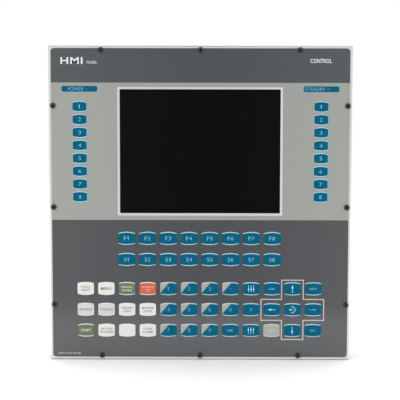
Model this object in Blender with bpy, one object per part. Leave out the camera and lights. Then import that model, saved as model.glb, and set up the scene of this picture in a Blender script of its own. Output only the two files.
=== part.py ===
"""Operator panel of a machine tool: front plate, printed film, keys, display and the electronics box behind.

The front faces -Y, X runs to the right as seen from the front, Z is up. The origin is the centre of the
front plate's rear face, which lies against the console. Lengths are millimetres until a mesh is made.
"""

import math

import bmesh
import bpy

MM = 0.001
GAP = 0.3  # clearance between neighbouring pieces
OVERRUN = 1.0  # how far a cutter passes the face it opens
ROOT_DEPTH = 0.5  # how far a joined piece reaches into the one it stands on
SHARP_ANGLE = math.radians(40)

# Front plate. The border is the bare metal left round the film.
PLATE_WIDTH = 400.0
PLATE_HEIGHT = 420.0
PLATE_THICKNESS = 6.0
PLATE_CHAMFER = 1.0
BORDER = 3.2

# Printed film
FILM_THICKNESS = 0.5
FILM_CORNER = 4.5

# Display window: the opening that shows, then its chamfer, then a flat rim as high as the film
WINDOW_CENTRE = (-0.3, 70.2)
WINDOW_WIDTH = 212.2
WINDOW_HEIGHT = 164.8
WINDOW_CORNER = 1.0
WINDOW_CHAMFER = 1.8
WINDOW_RIM = 3.2
WINDOW_LAND = 0.6  # upright wall between the chamfer and the rebate behind it

# Display stack behind the window
REBATE_MARGIN = 10.0
GLASS_GASKET_THICKNESS = 0.8
GLASS_GASKET_WIDTH = 6.0
GLASS_THICKNESS = 2.8
LCD_WIDTH = 243.0
LCD_HEIGHT = 184.5
LCD_DEPTH = 8.0
LCD_ELECTRONICS = (190.0, 110.0, 3.0)
BRACKET_SHEET = 1.5
BRACKET_FLANGE = 10.0
BRACKET_BACK_MARGIN = 22.0

# Keys: outline, then the pad's height over the film, the travel, and the flange that the film holds down
COLUMN_KEY = (20.0, 15.0, 1.5)  # width, height, bulge of the top and bottom arcs
ROW_KEY = (23.2, 17.8, 2.0)
BLOCK_KEY = (22.0, 17.9, 1.5)
KEY_ARC_STEPS = 4
KEY_PROUD = 0.6
KEY_TRAVEL = 0.5
FLANGE_LIP = 1.3
FLANGE_THICKNESS = 0.6
KEYBOARD_THICKNESS = 1.6

COLUMN_X = 159.4
COLUMN_TOP_Z = 130.0
COLUMN_PITCH = 17.17
KEYS_IN_LINE = 8
ROW_PITCH = 27.62
ROW_LEFT_X = -97.7
F_ROW_Z = -45.9
S_ROW_Z = -74.4
BLOCK_PITCH_X = 27.6
BLOCK_LEFT_X = -152.7
BLOCK_TOP_Z = -113.8
BLOCK_PITCH_Z = 28.35
# Colours of the block's keys, left to right: White, Light grey, Green, Red, Blue
BLOCK_ROWS = (
    "WWGRBBBBBBBB",
    "LLWWBBBBBBBB",
    "GWWWBBBBBLBB",
)

# Pockets and the boards in them
MAIN_POCKET = (-168.0, 166.0, -184.0, -33.0)  # x from, x to, z from, z to
COLUMN_POCKET_HALF = 12.8
COLUMN_POCKET_Z = (-1.0, 158.5)
LED_X = (-149.3, 168.8)
LED_Z = 153.2
LED_SIZE = (3.2, 2.0)
TAIL_SLOT = (44.0, 4.0)
COLUMN_TAIL_SLOT = (16.0, 3.0)
TAIL_SLOT_Z = -107.8
COLUMN_TAIL_SLOT_Z = 80.0

# Fixing screws: M4 button heads, held captive by a strip in a groove behind the plate
SCREW_X = 194.5
SCREW_Z = 204.5
SCREWS_ALONG_X = (-131.0, 0.0, 131.0)
SCREWS_ALONG_Z = (131.0, -4.0, -135.5)
SCREW_RADIUS = 2.0
SCREW_HOLE_RADIUS = 2.25
FILM_NOTCH_RADIUS = 3.0
HEAD_RADIUS = 3.8
HEAD_TOP_RADIUS = 2.2
HEAD_HEIGHT = 2.2
HEAD_EDGE = 0.5
SOCKET_ACROSS = 2.5
SOCKET_DEPTH = 1.3
SCREW_REACH = 9.7  # how far the tip stands out behind the plate
ROUND_STEPS = 12
STRIP_WIDTH = 6.0
STRIP_THICKNESS = 1.0

# Seal to the console, outside the housing
SEAL_INNER = (358.0, 378.0)
SEAL_WIDTH = 7.0
SEAL_THICKNESS = 1.5

# Electronics box
HOUSING_WIDTH = 356.0
HOUSING_HEIGHT = 376.0
HOUSING_DEPTH = 76.0
HOUSING_CORNER = 3.0
INNER_CORNER = 1.0
SHEET = 1.5
FRONT_FLANGE = 8.0
REAR_FLANGE = 12.0
VENT_SLOT = (3.0, 40.0)  # along X, along Y
VENT_PITCH = 12.0
VENTS_PER_WALL = 14
VENT_MIDDLE_Y = 40.0
COVER_WIDTH = 352.0
COVER_HEIGHT = 372.0
COVER_VENT = (90.0, 3.0)
COVER_VENT_PITCH = 10.0
COVER_VENTS = 10
COVER_VENT_CENTRE = (60.0, 60.0)

# Boards and their parts inside
MAIN_BOARD = (-150.0, 130.0, -150.0, 110.0)  # x from, x to, z from, z to
MAIN_BOARD_FRONT = 64.0
MAIN_BOARD_THICKNESS = 1.6
# Parts on the main board: middle x, middle z, width, height, how far they stand forward
BOARD_PARTS = (
    (50.0, 50.0, 50.0, 50.0, 24.0),
    (-40.0, 60.0, 60.0, 24.0, 6.0),
    (-40.0, 20.0, 28.0, 28.0, 4.0),
    (-110.0, -60.0, 16.0, 40.0, 18.0),
    (-110.0, 70.0, 20.0, 20.0, 12.0),
)
RIBBON_WIDTH = 40.0
RIBBON_THICKNESS = 1.0
RIBBON_HEADER = (44.0, 8.0, 6.0)  # width, height, how far it stands forward
RIBBON_HEADER_Z = -92.0
RIBBON_BENDS = 8
RIBBON_STRAIGHT = 14.0  # length that runs straight at each end
POWER_SUPPLY = (40.0, 160.0, 20.0, 58.0)  # x from, x to, y from, y to
POWER_SUPPLY_HEIGHT = 50.0

# Connectors on the rear
CONNECTOR_Z = -118.0
POWER_X = -120.0
POWER_OUTER = (24.0, 14.0)
POWER_CAVITY = (19.0, 9.6)
POWER_PROUD = 12.0
POWER_CAVITY_DEPTH = 9.0
SERIAL_X = -70.0
SERIAL_NECK = (21.0, 11.0)
SERIAL_FLANGE = (31.0, 12.6)
SERIAL_FLANGE_THICKNESS = 1.0
SERIAL_SHELL = (19.4, 10.8)
SERIAL_CAVITY = (17.2, 8.6)
SERIAL_SHELL_LENGTH = 6.0
SERIAL_CAVITY_DEPTH = 5.6
CORNER_CUT = 1.5
CUTOUT_CLEARANCE = 0.5
EARTH_AT = (-160.0, -165.0)
STUD_RADIUS = 3.0
STUD_HEAD_RADIUS = 5.0
STUD_HEAD_HEIGHT = 1.5
WASHER_RADIUS = 6.4
WASHER_THICKNESS = 1.2
NUT_ACROSS = 10.0
NUT_HEIGHT = 5.0
STUD_REACH = 12.0

# Levels along Y, from the front to the rear
FRONT = -PLATE_THICKNESS
FILM_BACK = FRONT + FILM_THICKNESS
RECESS_FLOOR = FILM_BACK + GAP
FLANGE_BACK = RECESS_FLOOR + FLANGE_THICKNESS
KEYBOARD_FRONT = FLANGE_BACK + KEY_TRAVEL + GAP
KEYBOARD_BACK = KEYBOARD_FRONT + KEYBOARD_THICKNESS
POCKET_FLOOR = KEYBOARD_BACK + GAP
LEDGE_BACK = FRONT + WINDOW_CHAMFER + WINDOW_LAND
GLASS_FRONT = LEDGE_BACK + GAP + GLASS_GASKET_THICKNESS + GAP
GLASS_BACK = GLASS_FRONT + GLASS_THICKNESS
LCD_FRONT = GLASS_BACK + GAP
LCD_BACK = LCD_FRONT + LCD_DEPTH
BRACKET_BACK = LCD_BACK + LCD_ELECTRONICS[2] + GAP
COVER_FRONT = HOUSING_DEPTH + GAP
COVER_BACK = COVER_FRONT + SHEET
BEHIND_MAIN_BOARD = MAIN_BOARD_FRONT + MAIN_BOARD_THICKNESS + GAP


# Outlines in the X-Z plane: lists of (x, z)


def rounded_rect(width, height, radius, centre=(0.0, 0.0), corner_steps=3):
    points = []
    for quarter in range(4):
        start = quarter * math.pi / 2
        side_x = 1 if quarter in (0, 3) else -1
        side_z = 1 if quarter in (0, 1) else -1
        corner_x = centre[0] + side_x * (width / 2 - radius)
        corner_z = centre[1] + side_z * (height / 2 - radius)
        for step in range(corner_steps + 1):
            angle = start + step / corner_steps * math.pi / 2
            points.append((corner_x + radius * math.cos(angle), corner_z + radius * math.sin(angle)))
    return points


def rect(x_from, x_to, z_from, z_to):
    return [(x_to, z_to), (x_from, z_to), (x_from, z_from), (x_to, z_from)]


def centred_rect(width, height, centre=(0.0, 0.0)):
    half_w = width / 2
    half_h = height / 2
    return rect(centre[0] - half_w, centre[0] + half_w, centre[1] - half_h, centre[1] + half_h)


def cut_rect(width, height, cut, centre, taper=0.0):
    """A rectangle with its corners cut off; taper makes the bottom narrower, as on a D-shaped shell."""
    points = []
    for side_x, side_z in ((1, 1), (-1, 1), (-1, -1), (1, -1)):
        half_w = width / 2 - (taper if side_z < 0 else 0.0)
        along_x = (side_x * (half_w - cut), side_z * height / 2)
        along_z = (side_x * half_w, side_z * (height / 2 - cut))
        pair = (along_z, along_x) if side_x == side_z else (along_x, along_z)
        points.extend((centre[0] + x, centre[1] + z) for x, z in pair)
    return points


def circle(radius, centre=(0.0, 0.0), steps=ROUND_STEPS):
    angles = (2 * math.pi * step / steps for step in range(steps))
    return [(centre[0] + radius * math.cos(a), centre[1] + radius * math.sin(a)) for a in angles]


def hexagon(across, centre=(0.0, 0.0)):
    """Corners and the middles of the sides, so that it has as many points as a circle."""
    points = []
    for step in range(ROUND_STEPS):
        radius = across / 2 if step % 2 else across / 2 / math.cos(math.pi / 6)
        angle = 2 * math.pi * step / ROUND_STEPS
        points.append((centre[0] + radius * math.cos(angle), centre[1] + radius * math.sin(angle)))
    return points


def barrel(key, centre=(0.0, 0.0), grow=0.0):
    """A key's outline: upright sides, and arched top and bottom."""
    width, height, bulge = key
    half_w = width / 2 + grow
    half_h = height / 2 + grow
    points = []
    for side in (1, -1):
        for step in range(KEY_ARC_STEPS + 1):
            along = 1 - 2 * step / KEY_ARC_STEPS
            drop = bulge * along * along
            points.append((centre[0] + side * along * half_w, centre[1] + side * (half_h - drop)))
    return points


def band_outline(path, thickness):
    """The outline of a bent strip that follows the points of path."""
    near = []
    far = []
    for index, (a, b) in enumerate(path):
        before = path[max(index - 1, 0)]
        after = path[min(index + 1, len(path) - 1)]
        length = math.hypot(after[0] - before[0], after[1] - before[1])
        side_a = -(after[1] - before[1]) / length * thickness / 2
        side_b = (after[0] - before[0]) / length * thickness / 2
        near.append((a + side_a, b + side_b))
        far.append((a - side_a, b - side_b))
    return near + far[::-1]


# Solids: each is a skin through sections, which are (outline, level) pairs with equal point counts


def add_skin(bm, sections, closed, along):
    loops = []
    for outline, level in sections:
        if along == "Y":
            corners = [(a, level, b) for a, b in outline]
        else:
            corners = [(level, a, b) for a, b in outline]
        loops.append([bm.verts.new([value * MM for value in corner]) for corner in corners])
    pairs = list(zip(loops, loops[1:]))
    if closed:
        pairs.append((loops[-1], loops[0]))
    else:
        bm.faces.new(loops[0])
        bm.faces.new(loops[-1])
    for near, far in pairs:
        for index in range(len(near)):
            following = (index + 1) % len(near)
            bm.faces.new((near[index], near[following], far[following], far[index]))


def prism(outline, front, back):
    return {"sections": [(outline, front), (outline, back)]}


def ring(outer, inner, front, back):
    sections = [(outer, front), (outer, back), (inner, back), (inner, front)]
    return {"sections": sections, "closed": True}


def block(x_from, x_to, y_from, y_to, z_from, z_to):
    return prism(rect(x_from, x_to, z_from, z_to), y_from, y_to)


def build(name, skins, material=None, at=(0.0, 0.0, 0.0), smooth=False):
    """One mesh object from skins, in millimetres about its origin, which is placed at at."""
    bm = bmesh.new()
    for skin in skins:
        add_skin(bm, skin["sections"], skin.get("closed", False), skin.get("along", "Y"))
    bmesh.ops.recalc_face_normals(bm, faces=bm.faces)
    mesh = bpy.data.meshes.new(name)
    bm.to_mesh(mesh)
    bm.free()
    if smooth:
        mesh.shade_smooth()
        mesh.set_sharp_from_angle(angle=SHARP_ANGLE)
    if material:
        mesh.materials.append(material)
    made = bpy.data.objects.new(name, mesh)
    made.location = [value * MM for value in at]
    bpy.context.scene.collection.objects.link(made)
    return made


def combine(target, skins, operation):
    """Cuts skins, about target's origin, out of it or joins them to it; the Boolean's tool stays hidden."""
    number = len(target.modifiers) + 1
    tool = build(f"{target.name}_{operation.lower()}_{number}", skins)
    tool.location = target.location
    tool.hide_render = True
    tool.display_type = "WIRE"
    modifier = target.modifiers.new(tool.name, "BOOLEAN")
    modifier.operation = operation
    modifier.object = tool
    modifier.solver = "EXACT"


def cut(target, skins):
    combine(target, skins, "DIFFERENCE")


def join(target, skins):
    combine(target, skins, "UNION")


def paint(name, colour, roughness, metallic=0.0, alpha=1.0):
    material = bpy.data.materials.new(name)
    material.use_nodes = True
    shader = material.node_tree.nodes["Principled BSDF"]
    shader.inputs["Base Color"].default_value = (*colour, 1.0)
    shader.inputs["Roughness"].default_value = roughness
    shader.inputs["Metallic"].default_value = metallic
    shader.inputs["Alpha"].default_value = alpha
    return material


# Where the keys and the screws are


def column_key_places(side):
    return [(side * COLUMN_X, COLUMN_TOP_Z - COLUMN_PITCH * n) for n in range(KEYS_IN_LINE)]


def row_key_places(z):
    return [(ROW_LEFT_X + ROW_PITCH * n, z) for n in range(KEYS_IN_LINE)]


def block_key_place(row, column):
    return BLOCK_LEFT_X + BLOCK_PITCH_X * column, BLOCK_TOP_Z - BLOCK_PITCH_Z * row


def block_cells():
    return [(row, column) for row in range(len(BLOCK_ROWS)) for column in range(len(BLOCK_ROWS[row]))]


def screw_places():
    places = [(x, side * SCREW_Z) for side in (1, -1) for x in SCREWS_ALONG_X]
    places += [(side * SCREW_X, z) for side in (1, -1) for z in SCREWS_ALONG_Z]
    return places


def strip_base(places, key):
    """The flat band that carries a line of keys, just past the outer keys' flanges."""
    reach_x = key[0] / 2 + FLANGE_LIP
    reach_z = key[1] / 2 + FLANGE_LIP
    xs = [x for x, _ in places]
    zs = [z for _, z in places]
    return min(xs) - reach_x, max(xs) + reach_x, min(zs) - reach_z, max(zs) + reach_z


# Front


def make_front_plate(material):
    sections = [
        (centred_rect(PLATE_WIDTH, PLATE_HEIGHT), 0.0),
        (centred_rect(PLATE_WIDTH, PLATE_HEIGHT), FRONT + PLATE_CHAMFER),
        (centred_rect(PLATE_WIDTH - 2 * PLATE_CHAMFER, PLATE_HEIGHT - 2 * PLATE_CHAMFER), FRONT),
    ]
    plate = build("front_plate", [{"sections": sections}], material)

    # Recess for the film, which leaves the border and the window's rim standing
    recess_outer = rounded_rect(
        PLATE_WIDTH - 2 * BORDER + 2 * GAP, PLATE_HEIGHT - 2 * BORDER + 2 * GAP, FILM_CORNER + GAP
    )
    rim_outer = rounded_rect(
        WINDOW_WIDTH + 2 * WINDOW_RIM - 2 * GAP,
        WINDOW_HEIGHT + 2 * WINDOW_RIM - 2 * GAP,
        WINDOW_CORNER,
        WINDOW_CENTRE,
    )
    cut(plate, [ring(recess_outer, rim_outer, FRONT - OVERRUN, RECESS_FLOOR)])

    # Window, widening through its chamfer
    opening = rounded_rect(WINDOW_WIDTH, WINDOW_HEIGHT, WINDOW_CORNER, WINDOW_CENTRE)
    spread = 2 * (WINDOW_CHAMFER + OVERRUN)
    mouth = rounded_rect(WINDOW_WIDTH + spread, WINDOW_HEIGHT + spread, WINDOW_CORNER, WINDOW_CENTRE)
    chamfer_back = FRONT + WINDOW_CHAMFER
    cut(plate, [{"sections": [(mouth, FRONT - OVERRUN), (opening, chamfer_back), (opening, OVERRUN)]}])

    # From the rear: glass rebate, groove of the screws' strip, slots for the key boards' tails
    rebate = centred_rect(
        WINDOW_WIDTH + 2 * REBATE_MARGIN, WINDOW_HEIGHT + 2 * REBATE_MARGIN, WINDOW_CENTRE
    )
    groove_outer, groove_inner = strip_outlines(GAP)
    slots = [prism(centred_rect(*TAIL_SLOT, (0.0, TAIL_SLOT_Z)), POCKET_FLOOR - OVERRUN, OVERRUN)]
    for side in (1, -1):
        outline = centred_rect(*COLUMN_TAIL_SLOT, (side * COLUMN_X, COLUMN_TAIL_SLOT_Z))
        slots.append(prism(outline, POCKET_FLOOR - OVERRUN, OVERRUN))
    groove = ring(groove_outer, groove_inner, -STRIP_THICKNESS - 2 * GAP, OVERRUN)
    cut(plate, [prism(rebate, LEDGE_BACK, OVERRUN), groove, *slots])

    # From the front: pockets for the keys and their boards, and the screw holes
    pockets = [prism(rect(*MAIN_POCKET), FRONT - OVERRUN, POCKET_FLOOR)]
    for side in (1, -1):
        pockets.append(prism(column_pocket(side), FRONT - OVERRUN, POCKET_FLOOR))
    holes = [prism(circle(SCREW_HOLE_RADIUS, place), FRONT - OVERRUN, OVERRUN) for place in screw_places()]
    cut(plate, pockets + holes)


def column_pocket(side, shrink=0.0):
    x = side * COLUMN_X
    half = COLUMN_POCKET_HALF - shrink
    return rect(x - half, x + half, COLUMN_POCKET_Z[0] + shrink, COLUMN_POCKET_Z[1] - shrink)


def strip_outlines(grow=0.0):
    """Outer and inner outline of the strip that joins the screws, running through all of them."""
    spread = STRIP_WIDTH / 2 + grow
    outer = centred_rect(2 * (SCREW_X + spread), 2 * (SCREW_Z + spread))
    inner = centred_rect(2 * (SCREW_X - spread), 2 * (SCREW_Z - spread))
    return outer, inner


def make_graphic_overlay(material):
    outline = rounded_rect(PLATE_WIDTH - 2 * BORDER, PLATE_HEIGHT - 2 * BORDER, FILM_CORNER)
    film = build("graphic_overlay", [prism(outline, FRONT, FILM_BACK)], material)
    window = rounded_rect(
        WINDOW_WIDTH + 2 * WINDOW_RIM, WINDOW_HEIGHT + 2 * WINDOW_RIM, WINDOW_CORNER, WINDOW_CENTRE
    )
    keys = [(COLUMN_KEY, place) for side in (1, -1) for place in column_key_places(side)]
    keys += [(ROW_KEY, place) for z in (F_ROW_Z, S_ROW_Z) for place in row_key_places(z)]
    keys += [(BLOCK_KEY, block_key_place(*cell)) for cell in block_cells()]
    outlines = [window]
    outlines += [barrel(key, place, GAP) for key, place in keys]
    outlines += [circle(FILM_NOTCH_RADIUS, place) for place in screw_places()]
    cut(film, [prism(outline, FRONT - OVERRUN, FILM_BACK + OVERRUN) for outline in outlines])


def make_captive_screws(material):
    outer, inner = strip_outlines()
    strip = ring(outer, inner, -STRIP_THICKNESS - GAP, -GAP)
    screws = build("captive_screws", [strip], material, smooth=True)
    under_head = FRONT - GAP
    top = under_head - HEAD_HEIGHT
    skins = []
    for place in screw_places():
        sections = [
            (hexagon(SOCKET_ACROSS, place), top + SOCKET_DEPTH),
            (hexagon(SOCKET_ACROSS, place), top),
            (circle(HEAD_TOP_RADIUS, place), top),
            (circle(HEAD_RADIUS, place), under_head - HEAD_EDGE),
            (circle(HEAD_RADIUS, place), under_head),
            (circle(SCREW_RADIUS, place), under_head),
            (circle(SCREW_RADIUS, place), SCREW_REACH),
        ]
        skins.append({"sections": sections})
    join(screws, skins)


def make_console_gasket(material):
    inner = rounded_rect(*SEAL_INNER, HOUSING_CORNER)
    outer_size = [value + 2 * SEAL_WIDTH for value in SEAL_INNER]
    outer = rounded_rect(*outer_size, HOUSING_CORNER + SEAL_WIDTH)
    build("console_gasket", [ring(outer, inner, GAP, GAP + SEAL_THICKNESS)], material)


# Keys


def make_block_key(row, column, material):
    """A single key. Its origin is at the middle of its front face, from which it slides along +Y."""
    x, z = block_key_place(row, column)
    front = FRONT - KEY_PROUD
    pad = barrel(BLOCK_KEY)
    flange = barrel(BLOCK_KEY, grow=FLANGE_LIP)
    sections = [
        (pad, 0.0),
        (pad, RECESS_FLOOR - front),
        (flange, RECESS_FLOOR - front),
        (flange, FLANGE_BACK - front),
    ]
    build(f"main_key_r{row + 1}c{column + 1:02d}", [{"sections": sections}], material, (x, front, z))


def make_key_strip(name, places, key, material):
    """A line of keys moulded on one thin base, placed by the middle of the line."""
    front = FRONT - KEY_PROUD
    x_from, x_to, z_from, z_to = strip_base(places, key)
    middle = ((x_from + x_to) / 2, (z_from + z_to) / 2)
    base = centred_rect(x_to - x_from, z_to - z_from)
    at = (middle[0], front, middle[1])
    strip = build(name, [prism(base, RECESS_FLOOR - front, FLANGE_BACK - front)], material, at)
    pads = []
    for x, z in places:
        outline = barrel(key, (x - middle[0], z - middle[1]))
        pads.append(prism(outline, 0.0, RECESS_FLOOR - front + FLANGE_THICKNESS / 2))
    join(strip, pads)


def make_keypad_spacer(material):
    x_from, x_to, z_from, z_to = MAIN_POCKET
    outline = rect(x_from + GAP, x_to - GAP, z_from + GAP, z_to - GAP)
    back = KEYBOARD_FRONT - GAP
    spacer = build("keypad_spacer", [prism(outline, RECESS_FLOOR, back)], material)
    cells = []
    for cell in block_cells():
        size = [value + 2 * (FLANGE_LIP + GAP) for value in BLOCK_KEY[:2]]
        cells.append(centred_rect(*size, block_key_place(*cell)))
    for z in (F_ROW_Z, S_ROW_Z):
        x_low, x_high, z_low, z_high = strip_base(row_key_places(z), ROW_KEY)
        cells.append(rect(x_low - GAP, x_high + GAP, z_low - GAP, z_high + GAP))
    cut(spacer, [prism(cell, RECESS_FLOOR - OVERRUN, back + OVERRUN) for cell in cells])


def make_keypad_boards(material):
    x_from, x_to, z_from, z_to = MAIN_POCKET
    outline = rect(x_from + GAP, x_to - GAP, z_from + GAP, z_to - GAP)
    build("keypad_board_main", [prism(outline, KEYBOARD_FRONT, KEYBOARD_BACK)], material)
    for name, side, led_x in (("left", -1, LED_X[0]), ("right", 1, LED_X[1])):
        pocket = column_pocket(side, GAP)
        board = build(f"keypad_board_{name}", [prism(pocket, KEYBOARD_FRONT, KEYBOARD_BACK)], material)
        led = centred_rect(*LED_SIZE, (led_x, LED_Z))
        join(board, [prism(led, RECESS_FLOOR, KEYBOARD_FRONT + ROOT_DEPTH)])


# Display


def make_display(glass_material, seal_material, lcd_material, bracket_material):
    glass_width = WINDOW_WIDTH + 2 * REBATE_MARGIN - 2 * GAP
    glass_height = WINDOW_HEIGHT + 2 * REBATE_MARGIN - 2 * GAP
    glass = centred_rect(glass_width, glass_height, WINDOW_CENTRE)
    build("display_glass", [prism(glass, GLASS_FRONT, GLASS_BACK)], glass_material)

    inner = centred_rect(
        glass_width - 2 * GLASS_GASKET_WIDTH, glass_height - 2 * GLASS_GASKET_WIDTH, WINDOW_CENTRE
    )
    gasket_front = LEDGE_BACK + GAP
    gasket = ring(glass, inner, gasket_front, gasket_front + GLASS_GASKET_THICKNESS)
    build("glass_gasket", [gasket], seal_material)

    lcd_outline = centred_rect(LCD_WIDTH, LCD_HEIGHT, WINDOW_CENTRE)
    lcd = build("lcd_module", [prism(lcd_outline, LCD_FRONT, LCD_BACK)], lcd_material)
    electronics = centred_rect(*LCD_ELECTRONICS[:2], WINDOW_CENTRE)
    join(lcd, [prism(electronics, LCD_BACK - ROOT_DEPTH, LCD_BACK + LCD_ELECTRONICS[2])])

    # A pressed frame: flange on the plate, walls round the module, lip behind it
    def frame_outline(grow):
        return centred_rect(LCD_WIDTH + 2 * grow, LCD_HEIGHT + 2 * grow, WINDOW_CENTRE)

    wall_inner = frame_outline(2 * GAP)
    wall_outer = frame_outline(2 * GAP + BRACKET_SHEET)
    flange_outer = frame_outline(2 * GAP + BRACKET_FLANGE)
    lip_inner = frame_outline(-BRACKET_BACK_MARGIN)
    back = BRACKET_BACK + BRACKET_SHEET
    sections = [
        (wall_inner, GAP),
        (flange_outer, GAP),
        (flange_outer, GAP + BRACKET_SHEET),
        (wall_outer, GAP + BRACKET_SHEET),
        (wall_outer, back),
        (lip_inner, back),
        (lip_inner, BRACKET_BACK),
        (wall_inner, BRACKET_BACK),
    ]
    build("lcd_bracket", [{"sections": sections, "closed": True}], bracket_material)


# Electronics box


def make_rear_housing(material):
    def outline(inset):
        corner = max(HOUSING_CORNER - inset, INNER_CORNER)
        return rounded_rect(HOUSING_WIDTH - 2 * inset, HOUSING_HEIGHT - 2 * inset, corner)

    # Sheet walls with a flange turned inwards at each end
    sections = [
        (outline(0.0), GAP),
        (outline(0.0), HOUSING_DEPTH),
        (outline(REAR_FLANGE), HOUSING_DEPTH),
        (outline(REAR_FLANGE), HOUSING_DEPTH - SHEET),
        (outline(SHEET), HOUSING_DEPTH - SHEET),
        (outline(SHEET), GAP + SHEET),
        (outline(FRONT_FLANGE), GAP + SHEET),
        (outline(FRONT_FLANGE), GAP),
    ]
    housing = build("rear_housing", [{"sections": sections, "closed": True}], material)
    slots = []
    for side in (1, -1):
        wall_z = side * (HOUSING_HEIGHT / 2 - SHEET / 2)
        for number in range(VENTS_PER_WALL):
            x = (number - (VENTS_PER_WALL - 1) / 2) * VENT_PITCH
            slot_y = (VENT_MIDDLE_Y - VENT_SLOT[1] / 2, VENT_MIDDLE_Y + VENT_SLOT[1] / 2)
            slot_x = (x - VENT_SLOT[0] / 2, x + VENT_SLOT[0] / 2)
            slots.append(block(*slot_x, *slot_y, wall_z - SHEET, wall_z + SHEET))
    cut(housing, slots)


def make_rear_cover(material):
    outline = rounded_rect(COVER_WIDTH, COVER_HEIGHT, HOUSING_CORNER)
    cover = build("rear_cover", [prism(outline, COVER_FRONT, COVER_BACK)], material)
    power = [value + 2 * CUTOUT_CLEARANCE for value in POWER_OUTER]
    serial = [value + 2 * CUTOUT_CLEARANCE for value in SERIAL_NECK]
    openings = [
        centred_rect(*power, (POWER_X, CONNECTOR_Z)),
        centred_rect(*serial, (SERIAL_X, CONNECTOR_Z)),
        circle(STUD_RADIUS + GAP, EARTH_AT),
    ]
    for number in range(COVER_VENTS):
        z = COVER_VENT_CENTRE[1] + (number - (COVER_VENTS - 1) / 2) * COVER_VENT_PITCH
        openings.append(centred_rect(*COVER_VENT, (COVER_VENT_CENTRE[0], z)))
    cut(cover, [prism(opening, COVER_FRONT - OVERRUN, COVER_BACK + OVERRUN) for opening in openings])


def make_main_board(material):
    back = MAIN_BOARD_FRONT + MAIN_BOARD_THICKNESS
    board = build("main_board", [prism(rect(*MAIN_BOARD), MAIN_BOARD_FRONT, back)], material)
    parts = list(BOARD_PARTS)
    parts.append((0.0, RIBBON_HEADER_Z, *RIBBON_HEADER))
    root = MAIN_BOARD_FRONT + ROOT_DEPTH
    skins = []
    for x, z, width, height, depth in parts:
        skins.append(prism(centred_rect(width, height, (x, z)), MAIN_BOARD_FRONT - depth, root))
    join(board, skins)


def make_ribbon_cable(material):
    """A flat cable through the plate's slot, bent up to the main board's header."""
    start = (KEYBOARD_BACK + GAP, TAIL_SLOT_Z)
    end = (MAIN_BOARD_FRONT - RIBBON_HEADER[2] - GAP, RIBBON_HEADER_Z)
    path = [start]
    for step in range(RIBBON_BENDS + 1):
        share = step / RIBBON_BENDS
        ease = (1 - math.cos(math.pi * share)) / 2
        y = start[0] + RIBBON_STRAIGHT + share * (end[0] - start[0] - 2 * RIBBON_STRAIGHT)
        path.append((y, start[1] + ease * (end[1] - start[1])))
    path.append(end)
    outline = band_outline(path, RIBBON_THICKNESS)
    half = RIBBON_WIDTH / 2
    build("ribbon_cable", [{"sections": [(outline, -half), (outline, half)], "along": "X"}], material)


def make_power_supply(material):
    floor = -HOUSING_HEIGHT / 2 + SHEET + GAP
    build("power_supply", [block(*POWER_SUPPLY, floor, floor + POWER_SUPPLY_HEIGHT)], material)


# Connectors


def make_power_inlet(material):
    centre = (POWER_X, CONNECTOR_Z)
    body = cut_rect(*POWER_OUTER, CORNER_CUT, centre)
    cavity = cut_rect(*POWER_CAVITY, CORNER_CUT / 2, centre)
    mouth = COVER_BACK + POWER_PROUD
    sections = [
        (body, BEHIND_MAIN_BOARD),
        (body, mouth),
        (cavity, mouth),
        (cavity, mouth - POWER_CAVITY_DEPTH),
    ]
    build("power_inlet", [{"sections": sections}], material)


def make_serial_port(material):
    centre = (SERIAL_X, CONNECTOR_Z)
    neck = cut_rect(*SERIAL_NECK, CORNER_CUT, centre)
    flange = cut_rect(*SERIAL_FLANGE, CORNER_CUT, centre)
    shell = cut_rect(*SERIAL_SHELL, CORNER_CUT, centre, taper=CORNER_CUT)
    cavity = cut_rect(*SERIAL_CAVITY, CORNER_CUT, centre, taper=CORNER_CUT)
    flange_front = COVER_BACK + GAP
    flange_back = flange_front + SERIAL_FLANGE_THICKNESS
    mouth = flange_back + SERIAL_SHELL_LENGTH
    sections = [
        (neck, BEHIND_MAIN_BOARD),
        (neck, flange_front),
        (flange, flange_front),
        (flange, flange_back),
        (shell, flange_back),
        (shell, mouth),
        (cavity, mouth),
        (cavity, mouth - SERIAL_CAVITY_DEPTH),
    ]
    build("serial_port", [{"sections": sections}], material)


def make_earth_stud(material):
    washer_front = COVER_BACK + GAP
    nut_front = washer_front + WASHER_THICKNESS
    nut_back = nut_front + NUT_HEIGHT
    head_back = COVER_FRONT - GAP
    sections = [
        (circle(STUD_HEAD_RADIUS), head_back - STUD_HEAD_HEIGHT),
        (circle(STUD_HEAD_RADIUS), head_back),
        (circle(STUD_RADIUS), head_back),
        (circle(STUD_RADIUS), washer_front),
        (circle(WASHER_RADIUS), washer_front),
        (circle(WASHER_RADIUS), nut_front),
        (hexagon(NUT_ACROSS), nut_front),
        (hexagon(NUT_ACROSS), nut_back),
        (circle(STUD_RADIUS), nut_back),
        (circle(STUD_RADIUS), nut_back + STUD_REACH - NUT_HEIGHT),
    ]
    at = (EARTH_AT[0], 0.0, EARTH_AT[1])
    build("earth_stud", [{"sections": sections}], material, at, smooth=True)


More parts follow.
